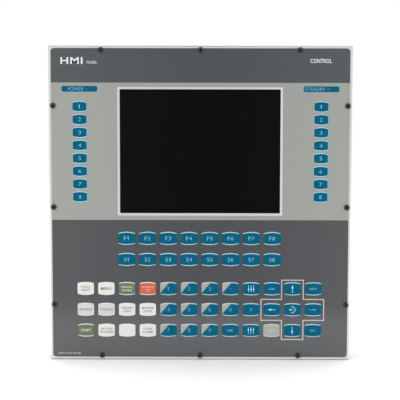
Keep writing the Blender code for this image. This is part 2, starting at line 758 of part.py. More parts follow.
def main():
    for old in list(bpy.data.objects):
        bpy.data.objects.remove(old, do_unlink=True)

    plate_metal = paint("plate_metal", (0.62, 0.62, 0.60), 0.45, metallic=0.6)
    film_grey = paint("film_grey", (0.095, 0.102, 0.110), 0.5)
    screw_black = paint("screw_black", (0.02, 0.02, 0.02), 0.4, metallic=0.5)
    seal_rubber = paint("seal_rubber", (0.03, 0.03, 0.03), 0.85)
    glass = paint("glass", (0.02, 0.02, 0.022), 0.08, alpha=0.5)
    lcd_black = paint("lcd_black", (0.012, 0.012, 0.012), 0.3)
    steel = paint("steel", (0.55, 0.56, 0.57), 0.4, metallic=0.9)
    zinc = paint("zinc", (0.60, 0.60, 0.58), 0.5, metallic=0.7)
    spacer_plastic = paint("spacer_plastic", (0.5, 0.5, 0.48), 0.6)
    board_green = paint("board_green", (0.02, 0.16, 0.07), 0.5)
    cable_grey = paint("cable_grey", (0.45, 0.46, 0.48), 0.6)
    connector_black = paint("connector_black", (0.03, 0.03, 0.035), 0.5)
    key_paint = {
        "W": paint("key_white", (0.80, 0.80, 0.78), 0.5),
        "L": paint("key_light_grey", (0.52, 0.51, 0.49), 0.5),
        "G": paint("key_green", (0.12, 0.24, 0.10), 0.5),
        "R": paint("key_red", (0.75, 0.12, 0.06), 0.5),
        "B": paint("key_blue", (0.0, 0.14, 0.26), 0.5),
    }

    make_front_plate(plate_metal)
    make_graphic_overlay(film_grey)
    make_captive_screws(screw_black)
    make_console_gasket(seal_rubber)
    make_display(glass, seal_rubber, lcd_black, steel)
    make_keypad_spacer(spacer_plastic)
    make_keypad_boards(board_green)
    make_key_strip("left_key_strip", column_key_places(-1), COLUMN_KEY, key_paint["B"])
    make_key_strip("right_key_strip", column_key_places(1), COLUMN_KEY, key_paint["B"])
    make_key_strip("f_key_strip", row_key_places(F_ROW_Z), ROW_KEY, key_paint["B"])
    make_key_strip("s_key_strip", row_key_places(S_ROW_Z), ROW_KEY, key_paint["B"])
    for row, column in block_cells():
        make_block_key(row, column, key_paint[BLOCK_ROWS[row][column]])
    make_rear_housing(zinc)
    make_rear_cover(zinc)
    make_main_board(board_green)
    make_ribbon_cable(cable_grey)
    make_power_supply(steel)
    make_power_inlet(connector_black)
    make_serial_port(steel)
    make_earth_stud(steel)


main()
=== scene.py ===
"""Looks of the operator panel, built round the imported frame.

Every piece is placed from the frame's boxes. Sizes are millimetres until a mesh is made; the front faces -Y,
X runs to the right as seen from the front, and Z is up.
"""

import math

import bmesh
import bpy
from mathutils import Euler, Matrix, Vector


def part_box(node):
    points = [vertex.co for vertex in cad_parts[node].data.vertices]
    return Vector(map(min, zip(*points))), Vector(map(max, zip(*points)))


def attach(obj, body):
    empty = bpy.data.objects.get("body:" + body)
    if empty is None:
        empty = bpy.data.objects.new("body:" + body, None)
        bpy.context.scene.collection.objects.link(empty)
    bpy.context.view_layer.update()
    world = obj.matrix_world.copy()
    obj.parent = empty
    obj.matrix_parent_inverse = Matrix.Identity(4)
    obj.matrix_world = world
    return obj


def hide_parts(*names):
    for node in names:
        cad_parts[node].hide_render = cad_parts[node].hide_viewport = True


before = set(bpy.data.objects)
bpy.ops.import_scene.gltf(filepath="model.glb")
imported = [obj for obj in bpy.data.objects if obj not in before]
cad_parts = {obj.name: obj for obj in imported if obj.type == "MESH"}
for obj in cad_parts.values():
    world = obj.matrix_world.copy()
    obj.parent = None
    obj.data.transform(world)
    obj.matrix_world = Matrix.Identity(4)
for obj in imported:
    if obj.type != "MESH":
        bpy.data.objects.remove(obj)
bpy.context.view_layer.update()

MM = 0.001
BODY = "panel"
SHARP_ANGLE = math.radians(32)
TURNED_ANGLE = 0.6  # edges this sharp, in radians, stay sharp on small turned pieces


def node_box(name):
    """A CAD node's lowest and highest corner, in millimetres."""
    low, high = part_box(name)
    return low / MM, high / MM


def middle_of(name):
    low, high = node_box(name)
    return (low + high) / 2


def centre_and_size(low, high):
    """A box's middle, and its width and height, as seen from the front."""
    return ((low.x + high.x) / 2, (low.z + high.z) / 2), (high.x - low.x, high.z - low.z)


PLATE_LOW, PLATE_HIGH = node_box("front_plate")
FILM_LOW, FILM_HIGH = node_box("graphic_overlay")
GLASS_LOW, GLASS_HIGH = node_box("display_glass")
HOUSING_LOW, HOUSING_HIGH = node_box("rear_housing")
COVER_LOW, COVER_HIGH = node_box("rear_cover")
SEAL_LOW, SEAL_HIGH = node_box("console_gasket")
SCREWS_LOW, SCREWS_HIGH = node_box("captive_screws")
GLASS_CENTRE, GLASS_SIZE = centre_and_size(GLASS_LOW, GLASS_HIGH)
PLATE_SIZE = centre_and_size(PLATE_LOW, PLATE_HIGH)[1]
HOUSING_SIZE = centre_and_size(HOUSING_LOW, HOUSING_HIGH)[1]
COVER_SIZE = centre_and_size(COVER_LOW, COVER_HIGH)[1]

GAP = 0.3  # clearance between the frame's parts
FRONT = PLATE_LOW.y
FILM_BACK = FILM_HIGH.y
KEY_FRONT = node_box("main_key_r1c01")[0].y
OVERRUN = 1.0  # how far a cutter reaches past what it cuts
WELD = 1e-7  # metres within which two points are one
PRINT = 0.035  # how far a print stands over what it is on

# Outlines in the X-Z plane

ROUND_STEPS = 32
KEY_CORNER = 1.6


def rounded_rect(size, radius, centre=(0.0, 0.0), grow=0.0, corner_steps=6):
    width, height = size[0] + 2 * grow, size[1] + 2 * grow
    points = []
    for quarter in range(4):
        start = quarter * math.pi / 2
        side_x = 1 if quarter in (0, 3) else -1
        side_z = 1 if quarter in (0, 1) else -1
        corner_x = centre[0] + side_x * (width / 2 - radius)
        corner_z = centre[1] + side_z * (height / 2 - radius)
        for step in range(corner_steps + 1):
            angle = start + step / corner_steps * math.pi / 2
            points.append((corner_x + radius * math.cos(angle), corner_z + radius * math.sin(angle)))
    return points


def circle(radius, centre=(0.0, 0.0), steps=ROUND_STEPS):
    angles = (2 * math.pi * step / steps for step in range(steps))
    return [(centre[0] + radius * math.cos(a), centre[1] + radius * math.sin(a)) for a in angles]


def hexagon(across, steps, centre):
    """A hexagon with its sides divided, so that it has as many points as a circle of steps."""
    points = []
    sides = 6
    per_side = steps // sides
    corner = across / 2 / math.cos(math.pi / sides)
    for side in range(sides):
        a = 2 * math.pi * side / sides
        b = 2 * math.pi * (side + 1) / sides
        for step in range(per_side):
            share = step / per_side
            x = corner * ((1 - share) * math.cos(a) + share * math.cos(b))
            z = corner * ((1 - share) * math.sin(a) + share * math.sin(b))
            points.append((centre[0] + x, centre[1] + z))
    return points


def stadium(length, width, centre, upright=False, steps=8):
    """A slot's outline with round ends."""
    points = []
    for end in (1, -1):
        for step in range(steps + 1):
            angle = -math.pi / 2 + math.pi * step / steps
            along = end * ((length - width) / 2 + width / 2 * math.cos(angle))
            across = end * width / 2 * math.sin(angle)
            pair = (across, along) if upright else (along, across)
            points.append((centre[0] + pair[0], centre[1] + pair[1]))
    return points


def band_outline(path, thickness):
    """The outline of a bent line that follows the points of path."""
    near = []
    far = []
    for index, (a, b) in enumerate(path):
        before = path[max(index - 1, 0)]
        after = path[min(index + 1, len(path) - 1)]
        length = math.hypot(after[0] - before[0], after[1] - before[1])
        side_a = -(after[1] - before[1]) / length * thickness / 2
        side_b = (after[0] - before[0]) / length * thickness / 2
        near.append((a + side_a, b + side_b))
        far.append((a - side_a, b - side_b))
    return near + far[::-1]


def nested(rows, centre, level, outline=rounded_rect, **settings):
    """Sections round a centre, from rows of size, corner radius and how far behind a level they lie."""
    return [(outline(size, corner, centre, **settings), level + behind) for size, corner, behind in rows]


def lathed(profile, centre, level=0.0, steps=ROUND_STEPS):
    """Sections of a round piece along Y, from pairs of a radius and how far behind a level it lies."""
    return [(circle(radius, centre, steps), level + behind) for radius, behind in profile]


def moved(outline, dx, dz):
    return [(x + dx, z + dz) for x, z in outline]


def turned_about(outline, centre, angle):
    cosine = math.cos(angle)
    sine = math.sin(angle)
    points = []
    for x, z in outline:
        dx = x - centre[0]
        dz = z - centre[1]
        points.append((centre[0] + dx * cosine - dz * sine, centre[1] + dx * sine + dz * cosine))
    return points


def arch(x, half_width, half_height, bulge):
    """Height of a key's arched edge over its middle."""
    return half_height - bulge * (x / half_width) ** 2


def corner_half_width(z_share, half_width, side_height):
    """Half the key's width at a share of its height, drawn in near the corners to round them."""
    beyond = max(abs(z_share) * side_height - (side_height - KEY_CORNER), 0.0) / KEY_CORNER
    return half_width - KEY_CORNER * (1 - math.sqrt(max(1 - beyond * beyond, 0.0)))


def key_outline(size, bulge, centre, grow, steps=16):
    """A key's outline with rounded corners, as an opening in the film."""
    half_w = size[0] / 2 + grow
    half_h = size[1] / 2 + grow
    points = []
    for side in (1, -1):
        for step in range(1, steps):
            share = -1 + 2 * step / steps
            x = corner_half_width(share, half_w, half_h - bulge) * side
            points.append((centre[0] + x, centre[1] + side * share * arch(x, half_w, half_h, bulge)))
        for step in range(steps + 1):
            x = side * (1 - 2 * step / steps) * (half_w - KEY_CORNER)
            points.append((centre[0] + x, centre[1] + side * arch(x, half_w, half_h, bulge)))
    return points


# Meshes


def add_skin(bm, sections, closed=False, along="Y", slot=0):
    """Faces through sections, (outline, level) pairs with equal point counts; open ends are capped."""
    loops = []
    for outline, level in sections:
        corners = [(a, b, level) if along == "Z" else (a, level, b) for a, b in outline]
        loops.append([bm.verts.new([value * MM for value in corner]) for corner in corners])
    pairs = list(zip(loops, loops[1:]))
    made = []
    if closed:
        pairs.append((loops[-1], loops[0]))
    else:
        made += [bm.faces.new(loops[0]), bm.faces.new(loops[-1])]
    for near, far in pairs:
        for index in range(len(near)):
            following = (index + 1) % len(near)
            made.append(bm.faces.new((near[index], near[following], far[following], far[index])))
    for face in made:
        face.material_index = slot
    return made


def prism(outline, front, back, along="Y"):
    """A straight skin, as add_skin's arguments."""
    return {"sections": [(outline, front), (outline, back)], "along": along}


def ring(outer, inner, front, back):
    """A flat ring, as add_skin's arguments."""
    return {"sections": [(outer, front), (outer, back), (inner, back), (inner, front)], "closed": True}


def pour(own, bm):
    """Adds one mesh in the making to another."""
    mesh = bpy.data.meshes.new("joined")
    own.to_mesh(mesh)
    own.free()
    bm.from_mesh(mesh)
    bpy.data.meshes.remove(mesh)


def finish_mesh(name, bm, looks, angle=SHARP_ANGLE):
    bmesh.ops.recalc_face_normals(bm, faces=bm.faces)
    mesh = bpy.data.meshes.new(name)
    bm.to_mesh(mesh)
    bm.free()
    for look in looks:
        mesh.materials.append(MATERIAL[look])
    mesh.shade_smooth()
    mesh.set_sharp_from_angle(angle=angle)
    made = bpy.data.objects.new(name, mesh)
    bpy.context.scene.collection.objects.link(made)
    return made


def from_skins(name, skins, looks, angle=SHARP_ANGLE):
    """A mesh object from skins, each a dictionary of add_skin's arguments."""
    bm = bmesh.new()
    for skin in skins:
        add_skin(bm, **skin)
    return finish_mesh(name, bm, looks, angle)


def from_sections(name, sections, looks, closed=False, angle=SHARP_ANGLE):
    return from_skins(name, [{"sections": sections, "closed": closed}], looks, angle)


def settle(made):
    """Puts what the modifiers make into the mesh itself."""
    evaluated = made.evaluated_get(bpy.context.evaluated_depsgraph_get())
    mesh = bpy.data.meshes.new_from_object(evaluated)
    made.modifiers.clear()
    made.data = mesh
    mesh.shade_smooth()
    mesh.set_sharp_from_angle(angle=SHARP_ANGLE)


def soften(made, width, segments=2):
    """Rounds the sharp edges."""
    bevel = made.modifiers.new("soften", "BEVEL")
    bevel.width = width * MM
    bevel.segments = segments
    bevel.limit_method = "ANGLE"
    bevel.angle_limit = SHARP_ANGLE
    settle(made)


def cut(made, skins):
    """Cuts skins out of a mesh."""
    tool = from_skins("cutter", skins, [])
    boolean = made.modifiers.new("cut", "BOOLEAN")
    boolean.operation = "DIFFERENCE"
    boolean.solver = "EXACT"
    boolean.object = tool
    settle(made)
    bpy.data.objects.remove(tool, do_unlink=True)


def cut_holes(made, outlines, front, back):
    cut(made, [prism(outline, front, back) for outline in outlines])


def keep(made, replaces=(), body=BODY):
    """Rides a finished piece on its body and hides the frame's parts that it replaces."""
    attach(made, body)
    if replaces:
        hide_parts(*replaces)


# Materials

NOISE_DETAIL = 4.0
TINT_FROM, TINT_TO = 0.3, 0.7  # stretch of the noise that the tint runs over
BUMP_DEPTH = 0.00002
COAT_ROUGHNESS = 0.12
SMOOTHEST = 0.02  # lowest roughness that a grain may reach


def node(tree, kind, inputs=None, **settings):
    """A shader node; each of its inputs is given as a value or as the output that feeds it."""
    made = tree.nodes.new(kind)
    for name, value in settings.items():
        setattr(made, name, value)
    for name, value in (inputs or {}).items():
        if isinstance(value, bpy.types.NodeSocket):
            tree.links.new(value, made.inputs[name])
        else:
            made.inputs[name].default_value = value
    return made


def surface(
    name, colour, roughness, metallic, grain, shade,
    bump=0.0, rough_spread=0.06, stretch=(1.0, 1.0, 1.0), specular=0.5, coat=0.0,
):
    """A Principled material with a fine grain in its colour, its roughness and its surface."""
    material = bpy.data.materials.new(name)
    material.use_nodes = True
    tree = material.node_tree
    shader = tree.nodes["Principled BSDF"]
    shader.inputs["Metallic"].default_value = metallic
    shader.inputs["Specular IOR Level"].default_value = specular
    shader.inputs["Coat Weight"].default_value = coat
    shader.inputs["Coat Roughness"].default_value = COAT_ROUGHNESS
    place = node(tree, "ShaderNodeTexCoord").outputs["Object"]
    scaling = node(tree, "ShaderNodeMapping", {"Vector": place, "Scale": stretch}).outputs["Vector"]
    wanted = {"Vector": scaling, "Scale": grain, "Detail": NOISE_DETAIL}
    noise = node(tree, "ShaderNodeTexNoise", wanted).outputs["Fac"]

    tint = node(tree, "ShaderNodeValToRGB", {"Fac": noise})
    darker, lighter = tint.color_ramp.elements
    darker.position, lighter.position = TINT_FROM, TINT_TO
    darker.color = (*[value * (1 - shade) for value in colour], 1.0)
    lighter.color = (*[min(value * (1 + shade), 1.0) for value in colour], 1.0)
    tree.links.new(tint.outputs["Color"], shader.inputs["Base Color"])

    wanted = {"Value": noise, "To Min": max(roughness - rough_spread, SMOOTHEST)}
    wanted["To Max"] = min(roughness + rough_spread, 1.0)
    rough = node(tree, "ShaderNodeMapRange", wanted)
    tree.links.new(rough.outputs["Result"], shader.inputs["Roughness"])
    if bump:
        relief = node(tree, "ShaderNodeBump", {"Height": noise, "Strength": bump, "Distance": BUMP_DEPTH})
        tree.links.new(relief.outputs["Normal"], shader.inputs["Normal"])
    return material


def srgb(red, green, blue):
    """A colour given as it looks on a screen, 0 to 255, as the linear values that a shader takes."""
    shares = (value / 255 for value in (red, green, blue))
    return tuple(v / 12.92 if v <= 0.04045 else ((v + 0.055) / 1.055) ** 2.4 for v in shares)


# Roughness, metallic, grain, shade, and what else sets the film and the keys apart
FILM_GRAIN = (0.16, 0.0, 2600.0, 0.03, {"bump": 0.12, "specular": 0.85})
KEY_GRAIN = (0.4, 0.0, 2600.0, 0.02, {"bump": 0.2, "specular": 0.06})
FILM_COLOURS = {
    "film_upper_dark": (71, 75, 78),
    "film_light": (153, 155, 150),
    "film_lower_dark": (71, 72, 75),
    "cross_line": (188, 183, 176),
}
KEY_COLOURS = {
    "key_line": (176, 206, 216),
    "key_line_blue": (172, 208, 216),
    "key_line_pale": (204, 204, 199),
    "key_stripe": (124, 162, 171),
    "key_blue": (1, 91, 121),
    "key_white": (219, 219, 214),
    "key_white_line": (221, 222, 219),
    "key_pale": (203, 203, 199),
    "key_stone": (165, 167, 161),
    "key_green": (102, 117, 92),
    "key_red": (199, 100, 80),
    "legend_light": (150, 208, 226),
    "legend_cyan": (116, 184, 208),
    "legend_white": (224, 226, 226),
    "legend_green": (230, 238, 222),
    "legend_rose": (250, 192, 174),
    "legend_sign": (172, 222, 236),
    "legend_dark": (84, 82, 80),
    "legend_dim": (104, 166, 186),
    "legend_stone": (206, 203, 194),
}
# Colour, roughness, metallic, grain, shade, and what else sets each look apart
LOOKS = {
    "plate_anodised": ((208, 210, 206), 0.34, 0.2, 1500.0, 0.02, {"bump": 0.15}),
    "polished_edge": ((226, 227, 225), 0.2, 1.0, 900.0, 0.01, {}),
    "machined_edge": ((221, 222, 220), 0.3, 0.3, 700.0, 0.02, {"bump": 0.1}),
    "screw_black": ((62, 62, 63), 0.13, 0.8, 900.0, 0.1, {"rough_spread": 0.03}),
    # The screws' sockets get a painted shade, near black, darker than the heads
    "screw_socket_painted_shade": ((12, 12, 12), 0.6, 0.0, 900.0, 0.1, {"specular": 0.2}),
    "spring_steel": ((150, 152, 155), 0.35, 0.9, 500.0, 0.06, {}),
    "seal_rubber": ((38, 38, 39), 0.8, 0.0, 900.0, 0.12, {"bump": 0.5}),
    "display_black": ((10, 10, 10), 0.14, 0.0, 60.0, 0.05, {"rough_spread": 0.02, "specular": 0.1}),
    "led_window": ((44, 104, 108), 0.25, 0.0, 300.0, 0.1, {}),
    "zinc_sheet": ((186, 188, 188), 0.36, 0.85, 55.0, 0.07, {"rough_spread": 0.12}),
    "bright_steel": ((176, 178, 180), 0.28, 0.95, 600.0, 0.05, {}),
    "nickel": ((205, 203, 196), 0.2, 1.0, 700.0, 0.03, {}),
    "contact_gold": ((216, 178, 96), 0.22, 1.0, 700.0, 0.04, {}),
    "stud_brass": ((190, 160, 96), 0.3, 0.95, 700.0, 0.06, {}),
    "moulded_black": ((30, 31, 33), 0.45, 0.0, 1200.0, 0.1, {"bump": 0.3}),
    "solder_mask": ((26, 92, 52), 0.35, 0.0, 180.0, 0.18, {"coat": 0.3}),
    "cable_grey": ((168, 170, 173), 0.5, 0.0, 900.0, 0.06, {"stretch": (1.0, 0.05, 0.05)}),
    "spacer_plastic": ((176, 175, 168), 0.55, 0.0, 800.0, 0.05, {}),
    "lcd_frame": ((58, 59, 62), 0.4, 0.6, 500.0, 0.08, {}),
    "plate_label": ((206, 208, 208), 0.4, 0.3, 900.0, 0.03, {}),
    **{name: (colour, *FILM_GRAIN) for name, colour in FILM_COLOURS.items()},
    **{name: (colour, *KEY_GRAIN) for name, colour in KEY_COLOURS.items()},
}
MATERIAL = {
    name: surface(name, srgb(*colour), *values, **settings)
    for name, (colour, *values, settings) in LOOKS.items()
}


# Lettering: generic words and signs only. A text is its words, capital height, width and stroke weight.

LINE_SPACING = 1.12
LETTER_SPACING = 1.1
LETTER_STEPS = 3  # steps along each curve of a letter
STROKE = 0.8  # width of a drawn stroke
DIGIT_HEIGHT, DIGIT_WIDTH = 4.9, 3.4
ONE_HEIGHT = 4.7
THIN = -0.12  # thins the strokes of short legends
LEGEND_DEPTH = 1.5 * PRINT


def text_mesh(words, size, spacing=1.0, depth=0.0, weight=0.0):
    curve = bpy.data.curves.new("legend", "FONT")
    curve.body = words
    curve.size = size
    curve.space_line = LINE_SPACING
    curve.space_character = spacing
    curve.align_x = "CENTER"
    curve.align_y = "CENTER"
    curve.resolution_u = LETTER_STEPS
    curve.extrude = depth
    curve.offset = weight
    holder = bpy.data.objects.new("legend", curve)
    bpy.context.scene.collection.objects.link(holder)
    evaluated = holder.evaluated_get(bpy.context.evaluated_depsgraph_get())
    mesh = bpy.data.meshes.new_from_object(evaluated)
    bpy.data.objects.remove(holder, do_unlink=True)
    bpy.data.curves.remove(curve)
    return mesh


def extent(mesh, axis):
    places = [vertex.co[axis] for vertex in mesh.vertices]
    return min(places), max(places)


def cap_height():
    """Height of a capital in the built-in font at size 1."""
    mesh = text_mesh("H", 1.0)
    low, high = extent(mesh, 1)
    bpy.data.meshes.remove(mesh)
    return high - low


FONT_CAP = cap_height()


def add_text(bm, text, centre, level, depth, slot=0):
    """Raised lettering on the front, its capitals of the text's height and its widest line of its width."""
    words, height, width, weight = text
    mesh = text_mesh(words, height / FONT_CAP, LETTER_SPACING, depth, weight)
    left, right = extent(mesh, 0)
    bottom, top = extent(mesh, 1)
    mid_x = (left + right) / 2
    mid_y = (bottom + top) / 2
    condense = width / (right - left)
    for vertex in mesh.vertices:
        x = centre[0] + (vertex.co.x - mid_x) * condense
        z = centre[1] + vertex.co.y - mid_y
        vertex.co = (x * MM, (level + depth - vertex.co.z) * MM, z * MM)
    own = bmesh.new()
    own.from_mesh(mesh)
    bpy.data.meshes.remove(mesh)
    bmesh.ops.remove_doubles(own, verts=own.verts, dist=WELD)
    for face in own.faces:
        face.material_index = slot
    pour(own, bm)


# Length, head length, head width and shaft width
ARROW = (10.8, 4.8, 2.8, 0.75)
SLENDER_ARROW = (9.8, 5.2, 1.8, 0.6)
ENTER_ARROW = (6.4, 3.0, 2.4, 0.7)
SLENDER_PITCH = 3.4
ENTER_ARROW_X = -1.6
ENTER_LINE = 0.7
DIAMOND = ((-1.8, 3.2), (-0.4, 4.4), (1.0, 4.4), (5.0, 0.0), (1.0, -4.4), (-0.4, -4.4), (-1.8, -3.2))


def arrow(size, turn):
    """An arrow's outline, pointing right and then turned by quarter turns."""
    length, head_length, head_width, shaft_width = size
    tip = length / 2
    neck = tip - head_length
    upper = [(neck, head_width / 2), (neck, shaft_width / 2), (-tip, shaft_width / 2)]
    points = [(tip, 0.0), *upper, *[(x, -z) for x, z in reversed(upper)]]
    for _ in range(turn):
        points = [(-z, x) for x, z in points]
    return points


def triple_arrow(turn):
    """Three slender arrows side by side."""
    return [moved(arrow(SLENDER_ARROW, turn), number * SLENDER_PITCH, 0.0) for number in (-1, 0, 1)]


def enter_sign():
    """An arrow into a diamond that is open on the side the arrow comes from."""
    return [band_outline(DIAMOND, ENTER_LINE), moved(arrow(ENTER_ARROW, 2), ENTER_ARROW_X, 0.0)]


def one(height):
    """A plain digit one: an upright with a short flag."""
    top = height / 2
    stem = STROKE / 2
    flag = [(-0.3 * height, top - 0.3 * height), (-0.2 * height, top - 0.42 * height)]
    return [(stem, -top), (stem, top), (-stem, top), *flag, (-stem, top - 0.22 * height), (-stem, -top)]


def digit(mark):
    """The legend of a key with one digit."""
    return [one(ONE_HEIGHT)] if mark == "1" else (mark, DIGIT_HEIGHT, DIGIT_WIDTH, THIN)


# Keys

FLANGE_LIP = 1.3
KEYS_IN_LINE = 8
COLUMN_KEY_HEIGHT = 15.0
ROW_KEY_WIDTH = 23.2
BLOCK_BULGE = 1.5  # how far the middle of an arched edge stands over its ends
KEY_CROWN = 0.06
KEY_ROOT = -5.2  # level of a pad's rear face
SHOULDER = (0.0, 0.08, 0.22, 0.45, 0.75, 1.1)  # places across a rounded shoulder
FACE_STEPS = 6
FILM_SLOT = 0.12  # gap left round a key in the film
# Width of a key's printed line along its arched edges and along its upright sides
ARCHED_LINES = (1.2, 0.0)
LINES_ALL_ROUND = (1.2, 0.65)
# Where a two-tone key's diagonal runs, from its middle, and the stripe beside it
DIAGONAL_FROM = Vector((-11.0, 0.0, -6.2))
DIAGONAL_TO = Vector((0.5, 0.0, 7.2))
DIAGONAL_STRIPE = 1.2
DIAGONAL_WELD = 1e-5
KEY_SLOTS = {"field": 0, "line": 1, "stone": 2, "stripe": 3, "legend": 4, "pale_line": 5}


def stations(half, line):
    """Places across a key: close over the shoulders, on the printed line's edge, then even."""
    near = sorted({*SHOULDER, line})
    last = near[-1]
    inner = [last + 2 * (half - last) * step / FACE_STEPS for step in range(1, FACE_STEPS)]
    return [place - half for place in [*near, *inner, *[2 * half - place for place in reversed(near)]]]


def shoulder(distance):
    """Share of the full height at a distance from the key's edge."""
    left = 1 - min(max(distance, 0.0) / SHOULDER[-1], 1.0)
    return math.sqrt(1 - left * left)


def split_two_tone(bm):
    """Splits a key's field along its diagonal into a stone corner, a pale stripe and the blue rest."""
    along = (DIAGONAL_TO - DIAGONAL_FROM).normalized()
    normal = Vector((-along.z, 0.0, along.x))
    for distance in (0.0, DIAGONAL_STRIPE):
        point = DIAGONAL_FROM + normal * distance
        geometry = [*bm.verts, *bm.edges, *bm.faces]
        bmesh.ops.bisect_plane(bm, geom=geometry, plane_co=point, plane_no=normal, dist=DIAGONAL_WELD)
    for face in bm.faces:
        distance = (face.calc_center_median() - DIAGONAL_FROM).dot(normal)
        if face.material_index == KEY_SLOTS["line"]:
            if distance > DIAGONAL_STRIPE:
                face.material_index = KEY_SLOTS["pale_line"]
        elif distance > DIAGONAL_STRIPE:
            face.material_index = KEY_SLOTS["stone"]
        elif distance > 0.0:
            face.material_index = KEY_SLOTS["stripe"]


def add_key(bm, size, bulge, centre, lines, two_tone=False):
    """An embossed key: arched edges, rounded corners and shoulders, a slight crown, printed zones."""
    half_w, half_h = size[0] / 2, size[1] / 2
    line_z, line_x = lines
    columns = stations(half_w, line_x)
    rows = stations(half_h, line_z)
    rise = FRONT - KEY_FRONT - KEY_CROWN
    own = bmesh.new()
    grid = []
    for across_z in rows:
        share = across_z / half_h
        reach = corner_half_width(share, half_w, half_h - bulge)
        line = []
        for across_x in columns:
            x = across_x * reach / half_w
            edge = arch(x, half_w, half_h, bulge)
            z = share * edge
            lift = rise * shoulder(reach - abs(x)) * shoulder(edge - abs(z))
            lift += KEY_CROWN * (1 - (x / half_w) ** 2) * (1 - share * share)
            line.append(own.verts.new((x, FRONT - lift, z)))
        grid.append(line)
    for row in range(len(rows) - 1):
        for column in range(len(columns) - 1):
            upper, lower = grid[row], grid[row + 1]
            face = own.faces.new((upper[column], upper[column + 1], lower[column + 1], lower[column]))
            mid_z = abs(rows[row] + rows[row + 1]) / 2
            mid_x = abs(columns[column] + columns[column + 1]) / 2
            on_line = mid_z > half_h - line_z or mid_x > half_w - line_x
            face.material_index = KEY_SLOTS["line" if on_line else "field"]
    rim = grid[0] + [line[-1] for line in grid[1:-1]] + grid[-1][::-1]
    rim += [line[0] for line in grid[-2:0:-1]]
    root = [own.verts.new((vertex.co.x, KEY_ROOT, vertex.co.z)) for vertex in rim]
    own.faces.new(root)
    for index in range(len(rim)):
        following = (index + 1) % len(rim)
        wall = own.faces.new((rim[index], rim[following], root[following], root[index]))
        wall.material_index = KEY_SLOTS["line"]
    if two_tone:
        split_two_tone(own)
    bmesh.ops.recalc_face_normals(own, faces=own.faces)
    offset = Vector((centre[0], 0.0, centre[1]))
    for vertex in own.verts:
        vertex.co = (vertex.co + offset) * MM
    pour(own, bm)


def key_looks(field, line, legend):
    return [field, line, "key_stone", "key_stripe", legend, "key_line_pale"]


def add_legend(bm, legend, centre):
    """A key's legend: a text or a list of outlines."""
    level = KEY_FRONT - PRINT
    if isinstance(legend, tuple):
        add_text(bm, legend, centre, level, LEGEND_DEPTH, KEY_SLOTS["legend"])
        return
    for outline in legend:
        flat = prism(moved(outline, *centre), level, KEY_FRONT + 2 * PRINT)
        add_skin(bm, **flat, slot=KEY_SLOTS["legend"])


# Name, whether it is a column, bulge, first letter, look and widths of its keys' printed lines
STRIPS = (
    ("left_key_strip", True, 2.0, "", "key_line_blue", LINES_ALL_ROUND),
    ("right_key_strip", True, 2.0, "", "key_line_blue", LINES_ALL_ROUND),
    ("f_key_strip", False, 2.0, "F", "key_line", ARCHED_LINES),
    ("s_key_strip", False, 2.0, "S", "key_line", ARCHED_LINES),
)
LETTER_HEIGHT, LETTER_WIDTH = 5.3, 3.3
LETTER_OFFSET = 2.1  # how far a letter, and the digit beside it, lies from a key's middle


def strip_keys(strip, upright):
    """The size of a strip's keys, and their middles from left to right or from top to bottom."""
    low, high = node_box(strip)
    middle = (low + high) / 2
    shares = [number / (KEYS_IN_LINE - 1) for number in range(KEYS_IN_LINE)]
    if upright:
        size = (high.x - low.x - 2 * FLANGE_LIP, COLUMN_KEY_HEIGHT)
        reach = size[1] / 2 + FLANGE_LIP
        return size, [(middle.x, high.z - reach - share * (high.z - low.z - 2 * reach)) for share in shares]
    size = (ROW_KEY_WIDTH, high.z - low.z - 2 * FLANGE_LIP)
    reach = size[0] / 2 + FLANGE_LIP
    return size, [(low.x + reach + share * (high.x - low.x - 2 * reach), middle.z) for share in shares]


def make_strips():
    openings = []
    for strip, upright, bulge, letter, line, lines in STRIPS:
        bm = bmesh.new()
        size, places = strip_keys(strip, upright)
        for number, place in enumerate(places):
            add_key(bm, size, bulge, place, lines)
            digit_place = place
            if letter:
                text = (letter, LETTER_HEIGHT, LETTER_WIDTH, THIN)
                add_legend(bm, text, (place[0] - LETTER_OFFSET, place[1]))
                digit_place = (place[0] + LETTER_OFFSET, place[1])
            add_legend(bm, digit(str(number + 1)), digit_place)
            openings.append(key_outline(size, bulge, place, FILM_SLOT))
        made = finish_mesh(f"{strip}_caps", bm, key_looks("key_blue", line, "legend_light"))
        keep(made, [strip], strip)
    return openings


def digits(marks):
    return [("two_tone", digit(mark)) for mark in marks]


